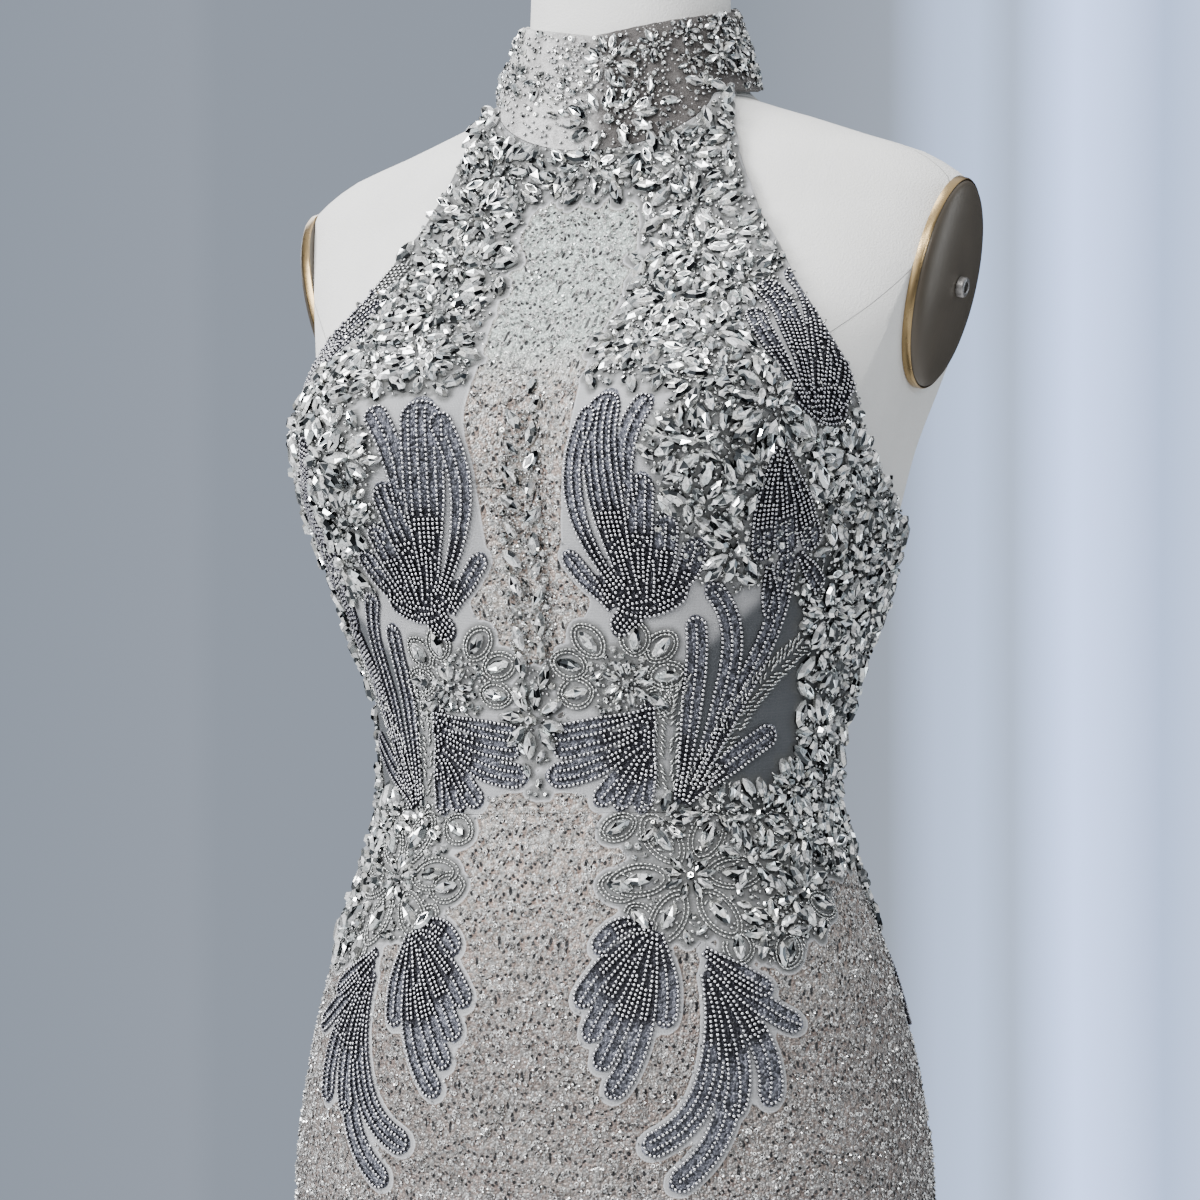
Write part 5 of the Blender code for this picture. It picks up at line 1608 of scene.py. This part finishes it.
def setting_tree():
    tree = bpy.data.node_groups.new("set_on_cloth", "GeometryNodeTree")
    for label, kind in (("Spots", "Geometry"), ("Shape", "Object"), ("Finish", "Material")):
        tree.interface.new_socket(label, in_out="INPUT", socket_type="NodeSocket" + kind)
    tree.interface.new_socket("Set", in_out="OUTPUT", socket_type="NodeSocketGeometry")
    n = Nodes("set_on_cloth", tree)
    given = tree.nodes.new("NodeGroupInput").outputs
    shape = n.add("GeometryNodeObjectInfo", given["Shape"], output="Geometry")
    turn = n.add("GeometryNodeInputNamedAttribute", "turn", data_type="FLOAT_VECTOR")
    size = n.add("GeometryNodeInputNamedAttribute", "size", data_type="FLOAT_VECTOR")
    turn = n.add("FunctionNodeEulerToRotation", turn)
    placed = n.add("GeometryNodeInstanceOnPoints", given["Spots"], None, shape, None, None, turn, size)
    real = n.add("GeometryNodeRealizeInstances", placed)
    finished = n.add("GeometryNodeSetMaterial", real, None, given["Finish"])
    n.link(finished, tree.nodes.new("NodeGroupOutput").inputs[0])
    return tree


set_on_cloth = setting_tree()


def euler_turns(along, normal):
    """Turns that put a shape's length along one direction and its top along the other."""
    side = np.cross(along, normal)
    pitch = np.arcsin(np.clip(-side[:, 2], -1, 1))
    roll = np.arctan2(along[:, 2], normal[:, 2])
    yaw = np.arctan2(side[:, 1], side[:, 0])
    return np.stack([roll, pitch, yaw], -1)


def set_shapes(name, shape, spots, turns, sizes, material, smooth):
    """One piece with the shape set on every spot."""
    plan_mesh = new_mesh(name + "_plan", spots, [])
    mark_points(plan_mesh, "turn", turns, "FLOAT_VECTOR", "vector")
    mark_points(plan_mesh, "size", sizes, "FLOAT_VECTOR", "vector")
    plan = in_scene(name + "_plan", plan_mesh)
    setter = plan.modifiers.new("set", "NODES")
    setter.node_group = set_on_cloth
    sockets = {item.name: item.identifier for item in set_on_cloth.interface.items_tree}
    setter[sockets["Shape"]] = shape
    setter[sockets["Finish"]] = material
    evaluated = plan.evaluated_get(bpy.context.evaluated_depsgraph_get())
    mesh = bpy.data.meshes.new_from_object(evaluated)
    bpy.data.objects.remove(plan)
    for key in ("turn", "size"):
        if key in mesh.attributes:
            mesh.attributes.remove(mesh.attributes[key])
    mesh.materials.clear()
    mesh.materials.append(material)
    mesh.name = name
    if smooth:
        mesh.shade_smooth()
    else:
        mesh.shade_flat()
    return in_scene(name, mesh)


def shape_object(name, mesh):
    """A small closed shape that set_shapes repeats. Its crown attribute tells the finishes top from rim."""
    mark_points(mesh, "crown", [point.co.z for point in mesh.vertices])
    return in_scene(name, mesh)


def faceted_shape(name, points, faces):
    mesh = new_mesh(name, points, faces)
    faces_out(mesh)
    return shape_object(name, mesh)


def ball_shape():
    ball = bmesh.new()
    bmesh.ops.create_icosphere(ball, subdivisions=1, radius=1.0)
    mesh = bpy.data.meshes.new("bead_shape")
    ball.to_mesh(mesh)
    ball.free()
    return shape_object("bead_shape", mesh)


# ---- Frond beads --------------------------------------------------------------------------------------
# Metal beads of 2.4 mm with a dark polish, strung and couched along the fingers. Their finish paints
# the top of each bead bright as a highlight and its lower rim near black as shade.


def dark_bead():
    n = Nodes("dark_bead")
    place = n.object_place()
    batch = n.ramp(n.noise(place, 45.0, 2.0), 0.35, 0.65)
    wear = n.noise(place, 900.0, 2.0)
    # Painted highlight and shade: the bead's top is painted bright and its lower rim near black.
    crown = n.ramp(n.attribute("crown"), 0.50, 0.68)
    colour = n.mix(batch, (0.72, 0.72, 0.76), (0.92, 0.92, 0.95))
    colour = n.mix(crown, (0.070, 0.070, 0.085), colour)
    return n.finish(colour, n.line(wear, 0.06, 0.08), n.line(crown, -0.35, 1.0))


BEAD_SEED = 7
bead_shape = ball_shape()
shaded_rim_bead_finish = dark_bead()
for name, chosen in (("frond_beads_front", np.abs(frond_spots[:, 0]) <= SIDE_SEAM),
                     ("frond_beads_back", np.abs(frond_spots[:, 0]) > SIDE_SEAM)):
    deg, z = frond_spots[chosen].T
    centres = on_cloth(deg, z, NET_LIFT + BEAD_RADIUS * 0.85)
    bead_rng = np.random.default_rng(BEAD_SEED)
    right, up, normal = spot_frame(deg, z)
    lean = bead_rng.uniform(-0.25, 0.25, (len(deg), 2))
    axis = unit(normal + right * lean[:, :1] + up * lean[:, 1:])
    turns = euler_turns(unit(up - axis * dot(up, axis)[:, None]), axis)
    sizes = np.repeat(BEAD_RADIUS * bead_rng.uniform(0.93, 1.05, (len(deg), 1)), 3, axis=1)
    beads = set_shapes(name, bead_shape, centres, turns, sizes, shaded_rim_bead_finish, True)
    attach(beads, "root")

# ---- Stones and seed beads ----------------------------------------------------------------------------
# Pointed and round glass stones with mirror foil behind them, silver seed beads, and silver-lined bugles.
TABLE_Z = 0.80               # of the dip in a stone's table, where its height is 1


def stone_shape(name, count, table, point):
    """A stone in its cup: a bevelled crown up to a hollow-cut table; point narrows its ends."""
    rings = (0.90, 0.0), (1.0, 0.50), (table, 1.0)
    points = []
    for scale, height in rings:
        for i in range(count):
            angle = 2 * math.pi * i / count
            x = 0.5 * math.sin(angle) * (1 - 0.14 * abs(math.cos(angle)) * point)
            points.append((x * scale, 0.5 * math.cos(angle) * scale, height))
    faces = [list(range(count))[::-1]] + grid_quads(len(rings), count, closed=True)
    top = (len(rings) - 1) * count
    centre = len(points)
    points.append((0.0, 0.0, TABLE_Z))
    # The table's facets are joined in pairs, so that each one mirrors a large patch of the room.
    for i in range(0, count, 2):
        faces.append((top + i, top + (i + 1) % count, top + (i + 2) % count, centre))
    return faceted_shape(name, points, faces)


def bugle_shape():
    """A short five-sided tube along its length."""
    count = 5
    points = []
    for end in (-0.5, 0.5):
        for i in range(count):
            angle = 2 * math.pi * i / count
            points.append((0.5 * math.cos(angle), end, 0.5 + 0.5 * math.sin(angle)))
    ends = [list(range(count)), list(range(count, 2 * count))[::-1]]
    return faceted_shape("bugle_shape", points, ends + grid_quads(2, count, closed=True))


def foiled_glass():
    """Mirror-backed cut glass under a faint cast; each facet is painted dark or bright at random, as a
    reflection.
    """
    n = Nodes("foiled_glass")
    place = n.object_place()
    cast = n.noise(place, 130.0, 1.0)
    facing = n.add("ShaderNodeNewGeometry", output="True Normal")
    facet = n.chance(n.add("ShaderNodeVectorMath", facing, (0.02, 0.02, 0.02), operation="SNAP"))
    streak = n.noise(place, 800.0, 1.0)
    colour = n.mix(n.ramp(cast, 0.40, 0.60), (0.70, 0.75, 0.75), (0.79, 0.79, 0.75))
    # Painted reflections: a share of the facets is painted bright, and another share plus some streaks near
    # black.
    colour = n.mix(n.ramp(facet, 0.60, 0.66), colour, (0.97, 0.98, 0.98))
    black = n.math("MAXIMUM", n.ramp(facet, 0.29, 0.25), n.times(n.ramp(streak, 0.57, 0.64), 0.5))
    colour = n.mix(black, colour, (0.050, 0.056, 0.060))
    return n.finish(colour, n.line(streak, 0.06, 0.03), n.line(facet, -0.35, 1.0))


def silver_seed():
    n = Nodes("silver_seed")
    place = n.object_place()
    batch = n.noise(place, 240.0, 2.0)
    colour = n.mix(n.ramp(batch, 0.35, 0.65), (0.46, 0.47, 0.48), (0.90, 0.91, 0.90))
    # Painted shade: the lower rim of each seed bead and cut bead is painted near black.
    colour = n.mix(n.ramp(n.attribute("crown"), 0.30, 0.62), (0.075, 0.078, 0.080), colour)
    return n.finish(colour, n.line(batch, 0.12, 0.12), 0.8, None, Coat_Weight=0.5,
                    Coat_Roughness=0.05)


stone_finish = foiled_glass()
seed_finish = silver_seed()
bugle_finish = bright_metal("silver_bugle", (0.60, 0.61, 0.60), 0.16)
shapes = {
    "marquise": (stone_shape("marquise_shape", 8, 0.66, 1.0), stone_finish, False),
    "chaton": (stone_shape("chaton_shape", 6, 0.62, 0.0), stone_finish, False),
    "seed": (bead_shape, seed_finish, True),
    "bugle": (bugle_shape(), bugle_finish, True),
}
for kind, (shape, finish, smooth) in shapes.items():
    spots, along, normal, sizes = (np.array(column) for column in zip(*stones[kind]))
    if kind == "seed":
        sizes = sizes * 0.5
        spots = spots + normal * sizes[:, 2:3]
    placed = set_shapes(kind + "_stones" if kind in ("marquise", "chaton") else kind + "_beads",
                        shape, spots, euler_turns(along, normal), sizes, finish, smooth)
    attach(placed, "root")

# ---- Ground beading -----------------------------------------------------------------------------------
# Clear bead loops in staggered rows over the nude net, with a pair of cut beads between them. Below the hip
# the loops lie flat in the cloth's own pattern.
GROUND_LOW_Z = 0.800
GROUND_FULL_Z = 0.900
GROUND_TOP_Z = 1.420
GROUND_SEED = 12


def ring_shape():
    """A small round bead with its hole."""
    points = []
    around, section = 6, 3
    for i in range(around):
        angle = 2 * math.pi * i / around
        for j in range(section):
            turn = 2 * math.pi * j / section + 0.5
            away = 0.33 + 0.17 * math.cos(turn)
            points.append((away * math.sin(angle), away * math.cos(angle), 0.17 + 0.17 * math.sin(turn)))
    faces = []
    for i in range(around):
        for j in range(section):
            k, m = (i + 1) % around, (j + 1) % section
            faces.append((i * section + j, k * section + j, k * section + m, i * section + m))
    return faceted_shape("ring_shape", points, faces)


def cut_bead_shape():
    """A tiny cut bead, pointed at both ends."""
    points = [(0, 0, 0), (0, 0, 1)] + [(0.5 * math.cos(a), 0.5 * math.sin(a), 0.5)
                                       for a in (0, math.pi / 2, math.pi, 3 * math.pi / 2)]
    faces = []
    for i in range(4):
        j = (i + 1) % 4
        faces += [(1, 2 + i, 2 + j), (0, 2 + j, 2 + i)]
    return faceted_shape("cut_bead_shape", points, faces)


ground_rng = np.random.default_rng(GROUND_SEED)
loop_spots = []
for row in range(int(GROUND_LOW_Z / LOOP_HEIGHT), math.ceil(GROUND_TOP_Z / LOOP_HEIGHT)):
    z = (row + 0.5) * LOOP_HEIGHT
    ends = arc_length(np.array([-180.0, 180.0]), np.array([z, z]))
    start = math.ceil(ends[0] / LOOP_WIDTH)
    middle = (np.arange(start, int(ends[1] / LOOP_WIDTH)) + 0.5 - 0.5 * (row % 2)) * LOOP_WIDTH
    middle = np.concatenate([middle, middle + 0.5 * LOOP_WIDTH])
    middle = middle + ground_rng.uniform(-0.0030, 0.0030, len(middle))
    heights = z + ground_rng.uniform(-0.0042, 0.0042, len(middle))
    deg = degrees_at(middle, heights)
    marks = cloth_marks(deg, heights)
    clear = (marks["net"] > 0.0004) & (np.abs(np.abs(deg) - 180.0) > 1.0) & inside_cut(deg, heights, 0.003)
    share = (heights - GROUND_LOW_Z) / (GROUND_FULL_Z - GROUND_LOW_Z)
    clear &= ground_rng.random(len(deg)) < smoothstep(share)
    loop_spots.append((deg[clear], heights[clear]))
loop_deg, loop_z = np.concatenate(loop_spots, axis=1)
right, up, normal = spot_frame(loop_deg, loop_z)


def clear_glass():
    n = Nodes("clear_bead")
    place = n.object_place()
    batch = n.noise(place, 180.0, 2.0)
    colour = n.mix(n.ramp(batch, 0.43, 0.57), (0.22, 0.212, 0.205), (1.0, 1.0, 0.99))
    return n.finish(colour, n.line(batch, 0.12, 0.08), 0.55, None, Coat_Weight=0.8,
                    Coat_Roughness=0.05)


clear_finish = clear_glass()
count = len(loop_deg)
lean = ground_rng.uniform(-0.65, 0.65, (count, 2))
axis = unit(normal + right * lean[:, :1] + up * lean[:, 1:])
along = unit(up - axis * dot(up, axis)[:, None])
spread = ground_rng.uniform(0.0021, 0.0030, count)
ring_sizes = np.stack([spread, spread * ground_rng.uniform(1.0, 1.3, count), spread * 0.9], -1)
ring_turns = euler_turns(along, axis)
rings = set_shapes("ground_rings", ring_shape(), on_cloth(loop_deg, loop_z), ring_turns, ring_sizes,
                   clear_finish, True)
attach(rings, "root")
cut_spots, cut_turns, cut_sizes = [], [], []
for bearing in (60.0, 240.0):
    angle = np.radians(bearing + ground_rng.uniform(-70, 70, count))
    away = ground_rng.uniform(0.0021, 0.0036, count)
    bead_deg, bead_z = walk(loop_deg, loop_z, away * np.sin(angle), away * np.cos(angle))
    fits = inside_cut(bead_deg, bead_z, 0.002)
    cut_spots.append(on_cloth(bead_deg, bead_z)[fits])
    cut_turns.append(ring_turns[fits])
    cut_sizes.append(np.repeat(ground_rng.uniform(0.0012, 0.0021, (count, 1)), 3, axis=1)[fits])
cuts = set_shapes("ground_cut_beads", cut_bead_shape(), np.concatenate(cut_spots), np.concatenate(cut_turns),
                  np.concatenate(cut_sizes), seed_finish, False)
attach(cuts, "root")

# ---- Back zip -----------------------------------------------------------------------------------------
# A concealed zip down centre back: a narrow tape between the panels, its cast slider parked at the top. Three
# wire hooks in their eyes close the collar above it.


def zip_tape():
    n = Nodes("zip_tape")
    place = n.object_place()
    ribs = n.add("ShaderNodeTexWave", place, 900.0, 0.0, 0.0, bands_direction="Z", output=1)
    colour = n.mix(ribs, (0.42, 0.37, 0.33), (0.60, 0.54, 0.49))
    return n.finish(colour, 0.65, 0.0, ribs, 0.0002)


tape_finish = zip_tape()
zip_node = coat_node("zip", tape_finish)


def cast_part(name, blocks, material, bevel):
    """Rounded blocks, given by their sizes and middles, as one small part."""
    mesh = bpy.data.meshes.new(name)
    work = bmesh.new()
    for size, middle in blocks:
        cube = bmesh.ops.create_cube(work, size=1.0)["verts"]
        bmesh.ops.scale(work, vec=size, verts=cube)
        bmesh.ops.translate(work, vec=middle, verts=cube)
    bmesh.ops.bevel(work, geom=list(work.edges), offset=bevel, segments=2, affect="EDGES", clamp_overlap=True)
    work.to_mesh(mesh)
    work.free()
    part = add_piece(name, mesh, material)
    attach(part, "root")
    return part


plated_finish = bright_metal("plated_zinc", (0.52, 0.51, 0.49), 0.28)
zip_top = max(point.co.z for point in zip_node.data.vertices)
zip_out = on_cloth(np.array([180.0]), np.array([zip_top - 0.007]), 0.0)[0][1]
slider = cast_part("zip_slider", (((0.0062, 0.0022, 0.0085), (0.0, zip_out + 0.0010, zip_top - 0.0055)),
                                  ((0.0014, 0.0022, 0.0046), (0.0, zip_out + 0.0026, zip_top - 0.0050)),
                                  ((0.0036, 0.0009, 0.0150), (0.0, zip_out + 0.0031, zip_top - 0.0130))),
                   plated_finish, 0.0004)
hook_low, hook_high = collar_lines(np.array([179.5]))
hook_blocks = []
for share in (0.15, 0.5, 0.85):
    x, y, z = hook_low[0] + (hook_high[0] - hook_low[0]) * share
    y += WALL
    hook_blocks += [((0.0090, 0.0008, 0.0008), (0.0, y + 0.0003, z + side * 0.0009)) for side in (1, -1)]
    hook_blocks += [((0.0008, 0.0010, 0.0026), (side * 0.0042, y + 0.0004, z)) for side in (1, -1)]
hooks = cast_part("collar_hooks", hook_blocks, plated_finish, 0.0002)

for shape in list(bpy.data.objects):
    if shape.name.endswith("_shape"):
        bpy.data.objects.remove(shape)

# ---- Studio -------------------------------------------------------------------------------------------
# A plain pale floor, soft lights round the gown and a quiet grey-blue surround.
CAMERA_TURN = 23.0
CAMERA_REACH = 3.0
CAMERA_Z = 1.02
AIM_Z = 1.222
AIM_SHIFT = -0.00585
LENS = 169.6
FLOOR_SIZE = 6.0


def floor_finish():
    n = Nodes("floor_paint")
    place = n.object_place()
    cloud = n.noise(place, 3.0, 4.0)
    return n.finish(n.mix(cloud, (0.60, 0.61, 0.62), (0.66, 0.67, 0.68)), 0.6, 0.0, cloud, 0.0002)


half = FLOOR_SIZE / 2
floor_corners = [(-half, -half, 0.0), (half, -half, 0.0), (half, half, 0.0), (-half, half, 0.0)]
floor = add_piece("floor", new_mesh("floor", floor_corners, [(0, 1, 2, 3)]), floor_finish())

turn = math.radians(CAMERA_TURN)
view_right = np.array([math.cos(turn), math.sin(turn), 0.0])
view_back = np.array([math.sin(turn), -math.cos(turn), 0.0])
aim = np.array([0.0, 0.0, AIM_Z]) + view_right * AIM_SHIFT
eye = aim + view_back * CAMERA_REACH
eye[2] = CAMERA_Z


def point_at(thing, spot, target):
    """Put a camera or a light at a spot and turn it towards the target."""
    thing.location = spot.tolist()
    ahead = unit(target - spot)
    side = unit(np.cross(ahead, (0, 0, 1)))
    top = np.cross(side, ahead)
    thing.rotation_euler = euler_turns(top[None], -ahead[None])[0].tolist()


camera_data = bpy.data.cameras.new("camera")
camera_data.lens = LENS
camera_data.sensor_width = 36.0
camera_data.clip_end = 30.0
camera = in_scene("camera", camera_data)
point_at(camera, eye, aim)
bpy.context.scene.camera = camera

Lamp = namedtuple("Lamp", "name right back up width height watts colour")
LAMPS = (
    Lamp("key", -2.0, 1.1, 0.9, 1.0, 1.5, 78.0, (1.0, 1.0, 1.0)),
    Lamp("front", -0.2, 2.2, 1.5, 0.6, 0.6, 15.0, (1.0, 0.99, 0.97)),
    Lamp("window", 2.2, -0.4, 0.4, 0.5, 1.6, 8.0, (0.86, 0.93, 1.0)),
    Lamp("top", -0.3, 0.2, 1.9, 1.1, 0.7, 22.0, (1.0, 1.0, 1.0)),
    Lamp("back", -0.6, -2.0, 1.0, 1.2, 1.2, 24.0, (0.95, 0.97, 1.0)),
    Lamp("spark_left", -0.9, 1.7, 1.2, 0.22, 0.22, 11.0, (1.0, 1.0, 1.0)),
    Lamp("spark_right", 0.7, 2.0, 0.7, 0.20, 0.20, 7.0, (1.0, 1.0, 1.0)),
)
for lamp in LAMPS:
    light = bpy.data.lights.new(lamp.name, "AREA")
    light.shape = "RECTANGLE"
    light.size = lamp.width
    light.size_y = lamp.height
    light.energy = lamp.watts
    light.color = lamp.colour
    centre = np.array([0.0, 0.0, AIM_Z])
    spot = centre + view_right * lamp.right + view_back * lamp.back + np.array([0, 0, lamp.up])
    point_at(in_scene(lamp.name, light), spot, centre)

world = bpy.data.worlds.new("surround")
bpy.context.scene.world = world
world.use_nodes = True
world.node_tree.nodes.clear()
n = Nodes("surround", world.node_tree)
heading = n.add("ShaderNodeTexCoord", output="Generated")


def bright_patch(direction, edge, core, colour, below):
    """The surround's colour with a soft bright patch round one direction."""
    facing = n.add("ShaderNodeVectorMath", heading, unit(np.array(direction)).tolist(), output="Value",
                   operation="DOT_PRODUCT")
    return n.mix(n.ramp(facing, edge, core), below, colour)


room = bright_patch((0, 0, 1), 0.45, 0.85, (1.2, 1.2, 1.22), (0.060, 0.065, 0.075))
key_side = -view_right + 0.9 * view_back + np.array([0, 0, 0.35])
room = bright_patch(key_side, 0.80, 0.94, (1.8, 1.8, 1.85), room)
room = bright_patch(view_right + np.array([0, 0, 0.1]), 0.88, 0.96, (0.5, 0.57, 0.65), room)
# What the camera sees behind the gown: a dim wall at the left and bright blinds at the right.
turned_place = n.parts(n.add("ShaderNodeMapping", heading, None, (0.0, 0.0, -turn)))
ramp = n.tree.nodes.new("ShaderNodeValToRGB")
n.link(n.add("ShaderNodeMapRange", turned_place[0], -0.11, 0.11), ramp.inputs["Fac"])
colours = ramp.color_ramp.elements
for element, colour in zip(colours, ((0.315, 0.365, 0.445), (0.95, 1.20, 1.75))):
    element.color = (*colour, 1.0)
for position, colour in ((0.17, (0.350, 0.395, 0.480)), (0.195, (0.320, 0.365, 0.440)),
                         (0.60, (0.325, 0.370, 0.445)), (0.73, (0.42, 0.48, 0.58)),
                         (0.77, (0.72, 0.90, 1.30)), (0.80, (0.80, 1.02, 1.50)),
                         (0.83, (0.62, 0.76, 1.02)), (0.88, (1.25, 1.65, 2.70)),
                         (0.915, (1.05, 1.35, 2.10)), (0.95, (0.72, 0.93, 1.42))):
    colours.new(position).color = (*colour, 1.0)
around = n.add("ShaderNodeBackground", room)
seen = n.add("ShaderNodeBackground", ramp.outputs["Color"])
camera_ray = n.add("ShaderNodeLightPath", output="Is Camera Ray")
n.link(n.add("ShaderNodeMixShader", camera_ray, around, seen),
       n.tree.nodes.new("ShaderNodeOutputWorld").inputs["Surface"])
